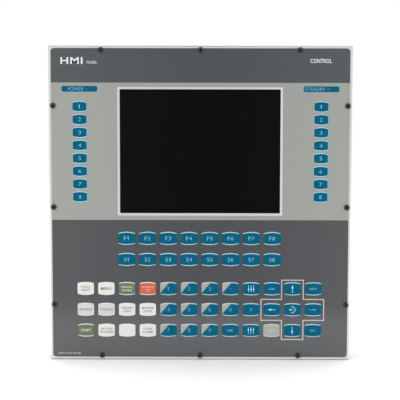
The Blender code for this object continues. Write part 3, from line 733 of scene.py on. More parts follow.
# Each key of the block: its style and its legend
BLOCK = (
    (
        ("white", ("CYCLE\nRESET", 2.5, 12.2, 0.04)),
        ("white", ("MENU", 3.6, 14.6, 0.06)),
        ("green", ("MANUAL\nENABLE", 2.7, 15.2, 0.0)),
        ("red", ("SPINDLE\nOFF", 2.6, 15.4, 0.0)),
        *digits("123"),
        ("two_tone", (".", 4.9, 1.1, 0.15)),
        ("blue", triple_arrow(3)),
        ("blue", ("INS", 2.8, 7.2, -0.07)),
        ("blue", [arrow(ARROW, 1)]),
        ("blue", ("HELP", 2.8, 9.8, -0.07)),
    ),
    (
        ("pale", ("REVERSE", 2.8, 17.0, 0.02)),
        ("pale", ("FORWARD", 2.8, 16.6, 0.02)),
        ("white", ("COOLANT\nSUPPLY", 2.7, 15.0, 0.06)),
        ("white", ("MACHINE\nLIGHTS", 2.7, 14.8, 0.06)),
        *digits("4560"),
        ("dim", ("?", 4.2, 3.2, 0.0)),
        ("blue", [arrow(ARROW, 2)]),
        ("blue", enter_sign()),
        ("dim", [arrow(ARROW, 0)]),
    ),
    (
        ("green", ("START", 3.3, 13.4, 0.03)),
        ("white", ("DRY RUN\nPROGRAM", 2.6, 16.4, 0.03)),
        ("white", None),
        ("white", ("CLEAR\nALARMS", 2.6, 14.4, 0.03)),
        *digits("789"),
        ("blue", ("ABC", 3.2, 8.0, -0.09)),
        ("blue", triple_arrow(1)),
        ("stone", ("SHIFT", 3.0, 9.0, 0.0)),
        ("blue", [arrow(ARROW, 3)]),
        ("dim", ("ESC", 3.2, 7.6, 0.03)),
    ),
)
# Field, printed line, legend and slot name of each style
KEY_STYLES = {
    "white": ("key_white", "key_white_line", "legend_dark", "key_white"),
    "pale": ("key_pale", "key_white", "legend_dark", "key_light_grey"),
    "stone": ("key_stone", "key_pale", "legend_stone", "key_light_grey"),
    "green": ("key_green", "key_white_line", "legend_green", "key_green"),
    "red": ("key_red", "key_white_line", "legend_rose", "key_red"),
    "blue": ("key_blue", "key_line", "legend_sign", "key_blue"),
    "dim": ("key_blue", "key_line", "legend_dim", "key_blue"),
    "two_tone": ("key_blue", "key_line", "legend_cyan", "key_blue"),
}


def make_block():
    openings = []
    for row, keys in enumerate(BLOCK):
        for column, (style, legend) in enumerate(keys):
            name = f"main_key_r{row + 1}c{column + 1:02d}"
            place, flange = centre_and_size(*node_box(name))
            size = (flange[0] - 2 * FLANGE_LIP, flange[1] - 2 * FLANGE_LIP)
            *looks, slot = KEY_STYLES[style]
            bm = bmesh.new()
            add_key(bm, size, BLOCK_BULGE, place, ARCHED_LINES, style == "two_tone")
            if legend:
                add_legend(bm, legend, place)
            keep(finish_mesh(f"{name}_cap", bm, key_looks(*looks)), [name], name)
            openings.append(key_outline(size, BLOCK_BULGE, place, FILM_SLOT))
    return openings


# Front plate and film

PLATE_CORNER = 0.4
PLATE_CHAMFER = 1.0
CHAMFER_SLOPE = (-0.9, -0.3)  # how far a chamfer's normal points along Y
EDGE_ROUND = 0.14
FILM_CORNER = 4.5
FILM_GAP = 0.1  # seen clearance round the film
UPPER_BAND_Z = 161.5
LOWER_BAND_Z = -21.15
WINDOW_SIZE = (212.2, 164.8)
WINDOW_CORNER = 1.0
WINDOW_RIM = 3.2
WINDOW_CHAMFER = 1.6
WINDOW_LAND = 0.6
POCKET_CORNER = 1.0
RIBBON_SLOT = (44.0, 4.0)
RIBBON_SLOT_RISE = 0.5  # how far its middle lies over the cable's lower face

# Fixing screws and the strip that keeps them captive
SCREWS_ALONG_X = (-131.0, 0.0, 131.0)
SCREWS_ALONG_Z = (131.0, -4.0, -135.5)
HEAD_RADIUS = 3.8
HEAD_HEIGHT = 2.2
HEAD_LAP = 0.8  # how far a head reaches over the film's hole
SCREW_RADIUS = 2.0
SCREW_PLAY = 0.25  # clearance round a screw in the plate
STRIP_PLAY = 0.05
STRIP_WIDTH = 6.0
STRIP_THICKNESS = 1.0
STRIP_CORNER = 1.0
SCREW_X = SCREWS_HIGH.x - HEAD_RADIUS
SCREW_Z = SCREWS_HIGH.z - HEAD_RADIUS
SCREW_PLACES = [(x, side * SCREW_Z) for side in (1, -1) for x in SCREWS_ALONG_X]
SCREW_PLACES += [(side * SCREW_X, z) for side in (1, -1) for z in SCREWS_ALONG_Z]


def window_outline(grow):
    return rounded_rect(WINDOW_SIZE, WINDOW_CORNER, GLASS_CENTRE, grow)


def plate_outline(inset, corner=PLATE_CORNER):
    return rounded_rect(PLATE_SIZE, corner, grow=-inset)


def strip_ring(grow, front, back):
    """The screws' strip, or the groove it lies in."""
    spread = STRIP_WIDTH / 2 + grow
    outer, inner = [
        rounded_rect((2 * (SCREW_X + side * spread), 2 * (SCREW_Z + side * spread)), STRIP_CORNER)
        for side in (1, -1)
    ]
    return ring(outer, inner, front, back)


def in_window(point):
    """Whether a point lies within the window and its rim, seen from the front."""
    inside_x = abs(point.x / MM - GLASS_CENTRE[0]) < WINDOW_SIZE[0] / 2 + WINDOW_RIM
    inside_z = abs(point.z / MM - GLASS_CENTRE[1]) < WINDOW_SIZE[1] / 2 + WINDOW_RIM
    return inside_x and inside_z


def make_plate():
    recess_floor = FILM_BACK + GAP
    rebate = rounded_rect(GLASS_SIZE, POCKET_CORNER, GLASS_CENTRE, GAP)
    recess = plate_outline(FILM_LOW.x - PLATE_LOW.x - FILM_GAP, FILM_CORNER + FILM_GAP)
    ledge_front = FRONT + WINDOW_CHAMFER
    sections = [
        (plate_outline(0.0), PLATE_HIGH.y),
        (plate_outline(0.0), FRONT + PLATE_CHAMFER),
        (plate_outline(PLATE_CHAMFER), FRONT),
        (recess, FRONT),
        (recess, recess_floor),
        (window_outline(WINDOW_RIM - FILM_GAP), recess_floor),
        (window_outline(WINDOW_RIM - FILM_GAP), FRONT),
        (window_outline(WINDOW_CHAMFER), FRONT),
        (window_outline(0.0), ledge_front),
        (window_outline(0.0), ledge_front + WINDOW_LAND),
        (rebate, ledge_front + WINDOW_LAND),
        (rebate, PLATE_HIGH.y),
    ]
    looks = ["plate_anodised", "machined_edge", "polished_edge"]
    plate = from_sections("plate_body", sections, looks, closed=True)
    steepest, flattest = CHAMFER_SLOPE
    for face in plate.data.polygons:
        if steepest < face.normal.y < flattest and face.center.y < (FRONT + PLATE_CHAMFER) * MM:
            face.material_index = 1 if in_window(face.center) else 2
    soften(plate, EDGE_ROUND)
    skins = []
    for board in ("keypad_board_main", "keypad_board_left", "keypad_board_right"):
        low, high = node_box(board)
        centre, size = centre_and_size(low, high)
        pocket = rounded_rect(size, POCKET_CORNER, centre, GAP)
        skins.append(prism(pocket, FRONT - OVERRUN, high.y + GAP))
    for place in SCREW_PLACES:
        skins.append(prism(circle(SCREW_RADIUS + SCREW_PLAY, place), FRONT - OVERRUN, OVERRUN))
    cut(plate, skins)
    ribbon_at = (0.0, node_box("ribbon_cable")[0].z + RIBBON_SLOT_RISE)
    ribbon_slot = rounded_rect(RIBBON_SLOT, POCKET_CORNER, ribbon_at)
    groove = strip_ring(GAP, -STRIP_THICKNESS - 2 * GAP, OVERRUN)
    cut(plate, [groove, prism(ribbon_slot, node_box("keypad_board_main")[1].y, OVERRUN)])
    keep(plate, ["front_plate"])


def make_film(openings):
    size = centre_and_size(FILM_LOW, FILM_HIGH)[1]
    skin = prism(rounded_rect(size, FILM_CORNER, corner_steps=10), FRONT, FILM_BACK)
    film = from_skins("printed_film", [skin], ["film_lower_dark", "film_light", "film_upper_dark"])
    outlines = [window_outline(WINDOW_RIM), *openings]
    outlines += [circle(HEAD_RADIUS - HEAD_LAP, place) for place in SCREW_PLACES]
    cut_holes(film, outlines, FRONT - OVERRUN, FILM_BACK + OVERRUN)
    bm = bmesh.new()
    bm.from_mesh(film.data)
    for height in (UPPER_BAND_Z, LOWER_BAND_Z):
        plane = {"plane_co": (0, 0, height * MM), "plane_no": (0, 0, 1)}
        bmesh.ops.bisect_plane(bm, geom=[*bm.verts, *bm.edges, *bm.faces], dist=WELD, **plane)
    for face in bm.faces:
        height = face.calc_center_median().z / MM
        face.material_index = (height > LOWER_BAND_Z) + (height > UPPER_BAND_Z)
    bm.to_mesh(film.data)
    bm.free()
    keep(film, ["graphic_overlay"])


# Prints on the film

LABEL_SIZE = (47.0, 7.6)
LABEL_CORNER = 2.0
LABEL_Z = 153.2
LABEL_CAPITALS = 4.6
# Name, the strip below it, words, their middle and width, and the lamp window's middle
INDICATORS = (
    ("power_label", "left_key_strip", "POWER", -164.2, 20.0, -149.3),
    ("standby_label", "right_key_strip", "STANDBY", 151.0, 26.4, 168.8),
)
# Size, corner radius and level of a lamp window's sections
LAMP = (((3.8, 2.6), 0.7, PRINT), ((3.8, 2.6), 0.7, -3 * PRINT), ((3.2, 2.0), 0.5, -5 * PRINT))
CROSS_LONG = (41.9, 40.4)  # half length of the arms along X and Z
CROSS_HALF = (14.45, 14.25)  # half width of the upright arm, and of the level one
CROSS_LINE = 1.35
CROSS_DROP = 0.3  # how far its middle lies under that of its middle key
# Plain generic wording where a panel carries its name: a text and its middle
TITLES = (
    (("HMI", 8.6, 29.0, 0.22), (-169.4, 190.4)),
    (("PANEL", 3.8, 13.6, 0.0), (-142.6, 188.2)),
    (("CONTROL", 5.0, 28.0, 0.14), (158.5, 190.4)),
    (("OPERATOR PANEL", 1.7, 31.0, 0.0), (-174.6, -202.0)),
)


def make_indicators():
    for name, strip, words, text_x, text_width, lens_x in INDICATORS:
        bm = bmesh.new()
        outline = rounded_rect(LABEL_SIZE, LABEL_CORNER, (middle_of(strip).x, LABEL_Z))
        add_skin(bm, **prism(outline, FRONT - PRINT, FRONT + PRINT))
        text = (words, LABEL_CAPITALS, text_width, THIN)
        add_text(bm, text, (text_x, LABEL_Z), FRONT - 2 * PRINT, LEGEND_DEPTH, 1)
        keep(finish_mesh(name, bm, ["key_blue", "legend_light"]))
        sections = nested(LAMP, (lens_x, LABEL_Z), FRONT)
        keep(from_sections(name.replace("label", "lens"), sections, ["led_window"]))


def cross_outline(grow, centre):
    """Twelve corners of the cross, a quarter at a time."""
    arm_x, arm_z = [half + grow for half in CROSS_HALF]
    long_x, long_z = [half + grow for half in CROSS_LONG]
    quarter = [(long_x, arm_z), (arm_x, arm_z), (arm_x, long_z)]
    points = quarter + [(-x, z) for x, z in quarter[::-1]]
    points += [(-x, -z) for x, z in quarter] + [(x, -z) for x, z in quarter[::-1]]
    return moved(points, *centre)


def make_cross():
    middle = middle_of("main_key_r2c11")
    centre = (middle.x, middle.z - CROSS_DROP)
    outer, inner = [cross_outline(side * CROSS_LINE / 2, centre) for side in (1, -1)]
    made = from_skins("cursor_cross", [ring(outer, inner, FRONT - PRINT, FRONT + PRINT)], ["cross_line"])
    keep(made)


def make_titles():
    bm = bmesh.new()
    for text, centre in TITLES:
        add_text(bm, text, centre, FRONT - PRINT, 2 * PRINT)
    keep(finish_mesh("panel_titles", bm, ["legend_white"]))


# Screws

TURNS_PER_STEP = 6  # rings of points in one turn of a thread
SOCKET_ACROSS = 2.5
SOCKET_DEPTH = 1.3
SOCKET_LEAD_IN = (0.3, 0.18)  # its width and depth
SOCKET_REACH = SOCKET_ACROSS / 2 + 0.25  # a radius between the socket's corners and the lead-in's edge
HEAD_FLAT = 0.55  # width of the flat round the socket
HEAD_SIDE = 0.4  # height of the head's upright edge
HEAD_FOOT = (0.1, 0.08)  # width and height of the small chamfer under the head
HEAD_STEPS = 6
SCREW_SIDES = 36
SCREW_TURN = 0.7  # how far each screw is turned on from the one before, in radians
THREAD_PITCH = 0.7
THREAD_DEPTH = 0.22
STRIP_EDGE = 0.1


def add_thread(bm, centre, front, back, radius, pitch, depth, steps=24):
    """A threaded shank along Y: its radius follows a helix, with a plain tip at each end."""
    count = max(int((back - front) / pitch * TURNS_PER_STEP), 2)
    sections = []
    for ring_number in range(count + 1):
        level = front + (back - front) * ring_number / count
        taper = min(1.0, ring_number / TURNS_PER_STEP, (count - ring_number) / TURNS_PER_STEP)
        outline = []
        for step in range(steps):
            turn = (level - front) / pitch - step / steps
            wave = abs(2 * (turn - math.floor(turn)) - 1)
            reach = radius - depth * wave - (1 - taper) * depth * (1 - wave)
            angle = 2 * math.pi * step / steps
            outline.append((centre[0] + reach * math.cos(angle), centre[1] + reach * math.sin(angle)))
        sections.append((outline, level))
    add_skin(bm, sections)


def button_head(place, under_head, angle):
    """A button head's sections: hexagon socket with a small lead-in, dome, and a short upright edge."""
    top = under_head - HEAD_HEIGHT
    flat = SOCKET_ACROSS / 2 + HEAD_FLAT
    socket = hexagon(SOCKET_ACROSS, SCREW_SIDES, place)
    sections = [(socket, top + SOCKET_DEPTH), (socket, top + SOCKET_LEAD_IN[1])]
    rings = [(SOCKET_ACROSS / 2 + SOCKET_LEAD_IN[0], top)]
    for step in range(HEAD_STEPS + 1):
        share = step / HEAD_STEPS * math.pi / 2
        radius = flat + (HEAD_RADIUS - flat) * math.sin(share)
        rings.append((radius, top + (HEAD_HEIGHT - HEAD_SIDE) * (1 - math.cos(share))))
    rings += [(HEAD_RADIUS, under_head - HEAD_FOOT[1]), (HEAD_RADIUS - HEAD_FOOT[0], under_head)]
    sections += lathed(rings, place, steps=SCREW_SIDES)
    return [(turned_about(outline, place, angle), level) for outline, level in sections]


def make_screws():
    under_head = SCREWS_LOW.y + HEAD_HEIGHT
    for number, place in enumerate(SCREW_PLACES):
        bm = bmesh.new()
        for face in add_skin(bm, button_head(place, under_head, SCREW_TURN * number)):
            corners = [vertex.co / MM for vertex in face.verts]
            reach = max(math.hypot(corner.x - place[0], corner.z - place[1]) for corner in corners)
            # Painted shade: the socket's faces take a near-black material, darker than the head
            if reach < SOCKET_REACH and max(corner.y for corner in corners) < under_head:
                face.material_index = 1
        add_thread(bm, place, under_head, SCREWS_HIGH.y, SCREW_RADIUS, THREAD_PITCH, THREAD_DEPTH)
        made = finish_mesh(f"fixing_screw_{number + 1:02d}", bm, ["screw_black", "screw_socket_painted_shade"], TURNED_ANGLE)
        keep(made)
    strip = from_skins("screw_strip", [strip_ring(0.0, -STRIP_THICKNESS - GAP, -GAP)], ["spring_steel"])
    holes = [circle(SCREW_RADIUS + STRIP_PLAY, place) for place in SCREW_PLACES]
    cut_holes(strip, holes, -3 * STRIP_THICKNESS, OVERRUN)
    soften(strip, STRIP_EDGE)
    keep(strip, ["captive_screws"])


# Display and seal

GLASS_CORNER = 1.5
GLASS_EDGE = 0.4
SEAL_WIDTH = 7.0
SEAL_CORNER = 10.0
SEAL_STEPS = 8
SEAL_SIDE = 0.55  # share of its thickness at its edges


def make_glass():
    face = rounded_rect(GLASS_SIZE, GLASS_CORNER, GLASS_CENTRE, -GLASS_EDGE)
    side = rounded_rect(GLASS_SIZE, GLASS_CORNER + GLASS_EDGE, GLASS_CENTRE)
    sections = [
        (face, GLASS_LOW.y),
        (side, GLASS_LOW.y + GLASS_EDGE),
        (side, GLASS_HIGH.y - GLASS_EDGE),
        (face, GLASS_HIGH.y),
    ]
    keep(from_sections("cover_glass", sections, ["display_black"]), ["display_glass"])


def make_seal():
    """The console seal: a flat strip with a rounded face."""
    size = centre_and_size(SEAL_LOW, SEAL_HIGH)[1]
    thickness = SEAL_HIGH.y - SEAL_LOW.y
    profile = []
    for step in range(SEAL_STEPS + 1):
        angle = math.pi * step / SEAL_STEPS
        level = SEAL_LOW.y + thickness * (SEAL_SIDE + (1 - SEAL_SIDE) * math.sin(angle))
        profile.append((SEAL_WIDTH / 2 * (1 - math.cos(angle)), level))
    profile += [(SEAL_WIDTH, SEAL_LOW.y), (0.0, SEAL_LOW.y)]
    sections = [(rounded_rect(size, SEAL_CORNER - inset, grow=-inset), level) for inset, level in profile]
    seal = from_sections("seal_strip", sections, ["seal_rubber"], closed=True)
    keep(seal, ["console_gasket"])


# Housing and cover

SHEET = 1.5
HOUSING_CORNER = 3.0
HOUSING_INNER_CORNER = 1.0
HOUSING_BEND = 0.6
COVER_EDGE = 0.25
BACK_FLANGE = 12.0
FRONT_FLANGE = 8.0
VENT_WIDTH = 3.0
# Count, pitch and length of the vents, and their middle: along Y in a wall, in X and Z on the cover
WALL_VENTS = (14, 12.0, 40.0, 40.0)
COVER_VENTS = (10, 10.0, 90.0, (60.0, 60.0))
POWER_HOLE = (25.0, 15.0)
SERIAL_HOLE = (22.0, 12.0)
HOLE_CORNER = 1.0
STUD_HOLE = 3.3
# Size, corner radius and level of the plain rating plate's sections
RATING_PLATE = (((62.0, 34.0), 1.5, -0.05), ((62.0, 34.0), 1.5, 0.2), ((61.4, 33.4), 1.2, 0.3))
RATING_PLATE_AT = (-95.0, 60.0)
COVER_SCREW_INSET = 6.0
PAN_RADIUS = 3.0
PAN_HEIGHT = 1.9
PAN_SUNK = 0.2  # how far its foot reaches into the cover
PAN_SIDE = 0.5  # height of the head's upright edge
PAN_FLAT = 0.4
PAN_STEPS = 5
RECESS_ARM = (3.0, 0.7)
RECESS_CORNER = 0.2
RECESS_DEPTH = 0.9


def make_housing():
    front, back = HOUSING_LOW.y, HOUSING_HIGH.y
    profile = [
        (0.0, front),
        (0.0, back),
        (BACK_FLANGE, back),
        (BACK_FLANGE, back - SHEET),
        (SHEET, back - SHEET),
        (SHEET, front + SHEET),
        (FRONT_FLANGE, front + SHEET),
        (FRONT_FLANGE, front),
    ]
    sections = [
        (rounded_rect(HOUSING_SIZE, max(HOUSING_CORNER - inset, HOUSING_INNER_CORNER), grow=-inset), level)
        for inset, level in profile
    ]
    housing = from_sections("housing_shell", sections, ["zinc_sheet"], closed=True)
    soften(housing, HOUSING_BEND, 3)
    count, pitch, length, vent_y = WALL_VENTS
    slots = []
    for side in (1, -1):
        wall_z = side * (HOUSING_SIZE[1] / 2 - SHEET / 2)
        for number in range(count):
            vent_x = (number - (count - 1) / 2) * pitch
            slot = stadium(length, VENT_WIDTH, (vent_x, vent_y), upright=True)
            slots.append(prism(slot, wall_z - 2 * SHEET, wall_z + 2 * SHEET, along="Z"))
    cut(housing, slots)
    keep(housing, ["rear_housing"])


def make_cover():
    outline = rounded_rect(COVER_SIZE, HOUSING_CORNER)
    cover = from_skins("cover_sheet", [prism(outline, COVER_LOW.y, COVER_HIGH.y)], ["zinc_sheet"])
    soften(cover, COVER_EDGE)
    power, serial, stud = [
        (middle.x, middle.z) for middle in map(middle_of, ("power_inlet", "serial_port", "earth_stud"))
    ]
    openings = [rounded_rect(POWER_HOLE, HOLE_CORNER, power), rounded_rect(SERIAL_HOLE, HOLE_CORNER, serial)]
    openings.append(circle(STUD_HOLE, stud))
    count, pitch, length, (vent_x, vent_z) = COVER_VENTS
    for number in range(count):
        place = (vent_x, vent_z + (number - (count - 1) / 2) * pitch)
        openings.append(stadium(length, VENT_WIDTH, place))
    cut_holes(cover, openings, COVER_LOW.y - OVERRUN, COVER_HIGH.y + OVERRUN)
    keep(cover, ["rear_cover"])


def make_cover_screws():
    """Pan-head screws with a cross recess, round the rear cover."""
    reach_x, reach_z = [side / 2 - COVER_SCREW_INSET for side in COVER_SIZE]
    along_z = (-reach_z, -reach_z / 3, reach_z / 3, reach_z)
    places = [(side * reach_x, z) for side in (1, -1) for z in along_z]
    places += [(0.0, side * reach_z) for side in (1, -1)]
    profile = [(PAN_RADIUS, -PAN_SUNK), (PAN_RADIUS, PAN_SIDE)]
    for step in range(1, PAN_STEPS + 1):
        angle = step / PAN_STEPS * math.pi / 2
        height = PAN_SIDE + (PAN_HEIGHT - PAN_SIDE) * math.sin(angle)
        profile.append((PAN_FLAT + (PAN_RADIUS - PAN_FLAT) * math.cos(angle), height))
    top = COVER_HIGH.y + PAN_HEIGHT
    for number, place in enumerate(places):
        sections = lathed(profile, place, COVER_HIGH.y)
        screw = from_sections(f"cover_screw_{number + 1:02d}", sections, ["bright_steel"], angle=TURNED_ANGLE)
        for size in (RECESS_ARM, RECESS_ARM[::-1]):
            arm = rounded_rect(size, RECESS_CORNER, place, corner_steps=2)
            cut_holes(screw, [arm], top - RECESS_DEPTH, top + OVERRUN)
        keep(screw)


def make_rating_plate():
    """A plain plate on the rear cover."""
    sections = nested(RATING_PLATE, RATING_PLATE_AT, COVER_HIGH.y)
    keep(from_sections("blank_rating_plate", sections, ["plate_label"]))


# Connectors. Their tables hold an outline's size and corner radius, or a radius, and then its level.

INLET_CORNER = 1.6
INLET_EDGE = 0.4
INLET_DEPTH = 9.0
CAVITY = (((19.6, 10.2), 1.0, 0.0), ((19.0, 9.6), 0.8, -0.5), ((19.0, 9.6), 0.8, -INLET_DEPTH))
BLADE_PITCH = 5.4
BLADE = (((1.2, 4.2), 0.3, -INLET_DEPTH - 0.5), ((1.2, 4.2), 0.3, -2.2), ((0.5, 3.4), 0.2, -1.6))

SERIAL_NECK = (21.0, 11.0)
SERIAL_NECK_CORNER = 1.5
SERIAL_FLANGE = 1.0
SERIAL_FLANGE_CORNER = 2.0
SHELL_LEAN = 1.5  # how much narrower a D-shaped shell is at each end of its lower edge
SHELL_LENGTH = 6.0
SHELL_FOOT = (((20.2, 11.4), 2.9, 0.0), ((19.4, 10.8), 2.6, 0.5))
SHELL_TIP = (
    ((19.4, 10.8), 2.6, -0.15), ((19.0, 10.4), 2.4, 0.0), ((17.6, 9.0), 2.2, 0.0), ((17.2, 8.6), 2.0, -0.2)
)
SHELL_FLOOR = (((17.2, 8.6), 2.0, 0.4),)
INSULATOR = (((17.4, 8.8), 2.0, 0.2), ((17.4, 8.8), 2.0, 0.9))
PIN_ROWS = ((1.42, 5), (-1.42, 4))  # height over the middle, and count
PIN_PITCH = 2.76
PIN_STEPS = 12
PIN_TIP = -0.8  # level of the pins' tips
PIN = ((0.5, 0.6 - SHELL_LENGTH), (0.5, PIN_TIP - 0.4), (0.2, PIN_TIP))
JACK_OFFSET = 12.5
JACK_ACROSS = 4.8
JACK_STEPS = 24
JACK_SIDE = (-0.1, 4.2)
JACK_END = ((2.1, 4.8), (1.35, 4.8), (1.35, 1.5))

STUD_RADIUS = 3.0
STUD_HEAD_RADIUS = 5.0
STUD_HEAD_HEIGHT = 1.5
STUD_SUNK = 0.3  # how far the thread starts inside the head
STUD_PITCH = 1.0
STUD_THREAD = 0.32
WASHER_THICKNESS = 1.2
WASHER = ((3.2, 0.0), (6.3, 0.0), (6.4, 0.2), (6.4, 1.0), (6.2, WASHER_THICKNESS), (3.2, WASHER_THICKNESS))
NUT_ACROSS = 10.0
NUT_HEIGHT = 5.0
NUT_STEPS = 36
NUT_BORE = 3.05
NUT_FRONT = ((NUT_BORE, 0.0), (4.8, 0.0))
NUT_SIDE = (0.5, NUT_HEIGHT - 0.6)
NUT_BACK = ((4.7, NUT_HEIGHT), (NUT_BORE, NUT_HEIGHT))


def make_power_inlet():
    """A moulded plug-in header with three blades in its cavity."""
    low, high = node_box("power_inlet")
    centre, size = centre_and_size(low, high)
    body = rounded_rect(size, INLET_CORNER, centre)
    edge = rounded_rect(size, INLET_CORNER - INLET_EDGE, centre, -INLET_EDGE)
    sections = [(body, low.y), (body, high.y - INLET_EDGE), (edge, high.y)]
    skins = [{"sections": sections + nested(CAVITY, centre, high.y)}]
    for number in (-1, 0, 1):
        place = (centre[0] + number * BLADE_PITCH, centre[1])
        skins.append({"sections": nested(BLADE, place, high.y, corner_steps=2), "slot": 1})
    keep(from_skins("power_header", skins, ["moulded_black", "nickel"]), ["power_inlet"])


def d_outline(size, corner, centre):
    """A D-shaped shell: narrower at the bottom, with rounded corners."""
    leaning = []
    for x, z in rounded_rect(size, corner, centre):
        share = 0.5 - (z - centre[1]) / size[1]
        leaning.append((centre[0] + (x - centre[0]) * (1 - 2 * SHELL_LEAN * share / size[0]), z))
    return leaning


def make_serial_port():
    """A D-shaped port: flange, shell, insulator with nine pins, and two hexagon jack screws."""
    low, high = node_box("serial_port")
    centre, size = centre_and_size(low, high)
    flange_back = high.y - SHELL_LENGTH
    flange_front = flange_back - SERIAL_FLANGE
    neck = rounded_rect(SERIAL_NECK, SERIAL_NECK_CORNER, centre)
    flange = rounded_rect(size, SERIAL_FLANGE_CORNER, centre)
    sections = [(neck, low.y), (neck, flange_front), (flange, flange_front), (flange, flange_back)]
    for rows, level in ((SHELL_FOOT, flange_back), (SHELL_TIP, high.y), (SHELL_FLOOR, flange_back)):
        sections += nested(rows, centre, level, d_outline)
    insulator = {"sections": nested(INSULATOR, centre, flange_back, d_outline), "slot": 1}
    skins = [{"sections": sections}, insulator]
    for row_z, count in PIN_ROWS:
        for number in range(count):
            place = (centre[0] + (number - (count - 1) / 2) * PIN_PITCH, centre[1] + row_z)
            skins.append({"sections": lathed(PIN, place, high.y, PIN_STEPS), "slot": 2})
    for side in (1, -1):
        place = (centre[0] + side * JACK_OFFSET, centre[1])
        jack = [(hexagon(JACK_ACROSS, JACK_STEPS, place), flange_back + over) for over in JACK_SIDE]
        skins.append({"sections": jack + lathed(JACK_END, place, flange_back, JACK_STEPS), "slot": 3})
    made = from_skins("serial_shell", skins, ["nickel", "moulded_black", "contact_gold", "bright_steel"])
    keep(made, ["serial_port"])


def make_earth_stud():
    """A stud with its head inside, a washer and a nut."""
    low, high = node_box("earth_stud")
    centre = centre_and_size(low, high)[0]
    washer_front = COVER_HIGH.y + GAP
    nut_front = washer_front + WASHER_THICKNESS
    bm = bmesh.new()
    add_skin(bm, **prism(circle(STUD_HEAD_RADIUS, centre), low.y, low.y + STUD_HEAD_HEIGHT))
    thread_front = low.y + STUD_HEAD_HEIGHT - STUD_SUNK
    add_thread(bm, centre, thread_front, high.y, STUD_RADIUS, STUD_PITCH, STUD_THREAD, steps=32)
    add_skin(bm, lathed(WASHER, centre, washer_front), closed=True)
    nut = lathed(NUT_FRONT, centre, nut_front, NUT_STEPS)
    nut += [(hexagon(NUT_ACROSS, NUT_STEPS, centre), nut_front + over) for over in NUT_SIDE]
    nut += lathed(NUT_BACK, centre, nut_front, NUT_STEPS)
    add_skin(bm, nut, closed=True)
    keep(finish_mesh("earth_terminal", bm, ["stud_brass"], TURNED_ANGLE), ["earth_stud"])


# Pieces that stay as the frame made them get finer materials

INNER_LOOKS = {
    "glass_gasket": "seal_rubber",
    "lcd_module": "lcd_frame",
    "lcd_bracket": "zinc_sheet",
    "keypad_spacer": "spacer_plastic",
    "keypad_board_main": "solder_mask",
    "keypad_board_left": "solder_mask",
    "keypad_board_right": "solder_mask",
    "ribbon_cable": "cable_grey",
    "main_board": "solder_mask",
    "power_supply": "bright_steel",
}


def dress_inner_pieces():
    for name, look in INNER_LOOKS.items():
        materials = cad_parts[name].data.materials
        materials.clear()
        materials.append(MATERIAL[look])


# Surroundings

WHITE = (1.0, 1.0, 1.0, 1.0)
FLOOR_FRONT = 320.0  # how far the floor reaches in front of the panel
FLOOR_BACK = 1400.0
FLOOR_SIDE = 1800.0
FLOOR_DROP = 0.8  # gap between the panel's lower edge and the floor
FLOOR_THICKNESS = 20.0
FLOOR_COLOUR = (0.95, 0.95, 0.95)
FLOOR_GRAIN = 3.0
FLOOR_SHADE = 0.004
PAINTED_FLOOR_GLOW = 0.1  # painted light: the floor glows a little, though it is no lamp
# Painted shadow under the panel, where the floor's glow is left out, in metres: half widths from full painted
# shadow to full glow, and the middle along Y
PAINTED_SHADOW_X = (0.2, 0.21)
PAINTED_SHADOW_Y = (0.012, 0.02)
PAINTED_SHADOW_MIDDLE_Y = 0.006
COLUMN_HALF = (0.03, 0.08)  # a dark column behind the camera: half its width, full and faded out
COLUMN_LEVEL = 0.12
STUDIO_LEVEL = 0.85
# Name, place, what it is aimed at, size in metres, watts, and whether it shows in glossy surfaces
LIGHTS = (
    ("left_softbox", (-1.7, -1.5, 0.6), (0.0, 0.0, 0.0), (0.5, 1.3), 14.0, True),
    ("right_softbox", (1.7, -1.5, 0.5), (0.0, 0.0, 0.0), (0.5, 1.3), 7.0, True),
    ("top_softbox", (0.0, 0.5, 1.9), (0.0, 0.1, -0.2), (2.4, 1.6), 24.0, False),
)
CAMERA_PLACE = (0.0092, -2.4922, 0.3554)
YAW = 0.219
PITCH = -8.005
ROLL = 0.085
LENS = 170.33
SENSOR = 36.0
CLIP_END = 60.0


def fade(tree, distance, limits, low, high):
    """Runs smoothly from low to high while a distance passes between its limits."""
    wanted = {"Value": distance, "From Min": limits[0], "From Max": limits[1], "To Min": low, "To Max": high}
    return node(tree, "ShaderNodeMapRange", wanted, interpolation_type="SMOOTHSTEP").outputs["Result"]


def math_node(tree, operation, *values):
    made = node(tree, "ShaderNodeMath", dict(enumerate(values)), operation=operation)
    return made.outputs["Value"]


def mix(tree, factor, a, b):
    made = node(tree, "ShaderNodeMix", {"Factor": factor, "A": a, "B": b}, data_type="FLOAT")
    return made.outputs["Result"]


def parts_of(tree, coordinates):
    place = node(tree, "ShaderNodeTexCoord").outputs[coordinates]
    return node(tree, "ShaderNodeSeparateXYZ", {"Vector": place}).outputs


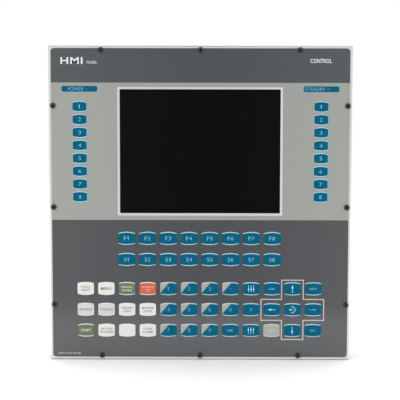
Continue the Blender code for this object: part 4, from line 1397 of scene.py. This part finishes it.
def make_stage():
    """A white floor with a painted glow, left out under the panel's lower edge as a painted shadow."""
    floor_z = PLATE_LOW.z - FLOOR_DROP
    outline = [(FLOOR_SIDE, -FLOOR_FRONT), (FLOOR_SIDE, FLOOR_BACK)]
    outline += [(-x, y) for x, y in outline[::-1]]
    floor = from_skins("floor", [prism(outline, floor_z - FLOOR_THICKNESS, floor_z, along="Z")], [])
    white = surface("floor_white_painted_glow", FLOOR_COLOUR, 0.9, 0.0, FLOOR_GRAIN, FLOOR_SHADE)
    tree = white.node_tree
    shader = tree.nodes["Principled BSDF"]
    shader.inputs["Emission Color"].default_value = WHITE
    parts = parts_of(tree, "Object")
    sideways = math_node(tree, "ABSOLUTE", parts["X"])
    inwards = math_node(tree, "ABSOLUTE", math_node(tree, "SUBTRACT", parts["Y"], PAINTED_SHADOW_MIDDLE_Y))
    # Painted shadow: the glow fades to nothing in a strip under the panel's lower edge
    painted_glow_x = fade(tree, sideways, PAINTED_SHADOW_X, 0.0, PAINTED_FLOOR_GLOW)
    painted_glow_y = fade(tree, inwards, PAINTED_SHADOW_Y, 0.0, PAINTED_FLOOR_GLOW)
    tree.links.new(math_node(tree, "MAXIMUM", painted_glow_x, painted_glow_y), shader.inputs["Emission Strength"])
    floor.data.materials.append(white)


def make_world():
    """A white studio with a dark column behind the camera; the background itself stays white."""
    world = bpy.data.worlds.new("studio")
    world.use_nodes = True
    bpy.context.scene.world = world
    tree = world.node_tree
    background = tree.nodes["Background"]
    background.inputs["Color"].default_value = WHITE
    parts = parts_of(tree, "Generated")
    column = fade(tree, math_node(tree, "ABSOLUTE", parts["X"]), COLUMN_HALF, COLUMN_LEVEL, STUDIO_LEVEL)
    behind = math_node(tree, "GREATER_THAN", parts["Y"], 0.0)
    level = mix(tree, behind, column, STUDIO_LEVEL)
    seen = node(tree, "ShaderNodeLightPath").outputs["Is Camera Ray"]
    tree.links.new(mix(tree, seen, level, 1.0), background.inputs["Strength"])


def make_lights():
    for name, place, target, size, power, glossy in LIGHTS:
        data = bpy.data.lights.new(name, "AREA")
        data.energy = power
        data.shape = "RECTANGLE"
        data.size, data.size_y = size
        made = bpy.data.objects.new(name, data)
        bpy.context.scene.collection.objects.link(made)
        made.location = place
        made.rotation_euler = (Vector(target) - Vector(place)).to_track_quat("-Z", "Y").to_euler()
        made.visible_glossy = glossy


def make_camera():
    data = bpy.data.cameras.new("camera")
    data.lens = LENS
    data.sensor_width = SENSOR
    data.clip_end = CLIP_END
    camera = bpy.data.objects.new("camera", data)
    turned = Euler((math.radians(90.0 + PITCH), 0.0, math.radians(YAW))).to_matrix()
    turned @= Matrix.Rotation(math.radians(ROLL), 3, "Z")
    camera.matrix_world = Matrix.Translation(CAMERA_PLACE) @ turned.to_4x4()
    bpy.context.scene.collection.objects.link(camera)
    bpy.context.scene.camera = camera
    bpy.context.scene.view_settings.view_transform = "Standard"


make_camera()
make_world()
make_lights()
make_stage()
key_openings = make_strips() + make_block()
make_plate()
make_film(key_openings)
make_indicators()
make_cross()
make_titles()
make_screws()
make_glass()
make_seal()
make_housing()
make_cover()
make_cover_screws()
make_rating_plate()
make_power_inlet()
make_serial_port()
make_earth_stud()
dress_inner_pieces()
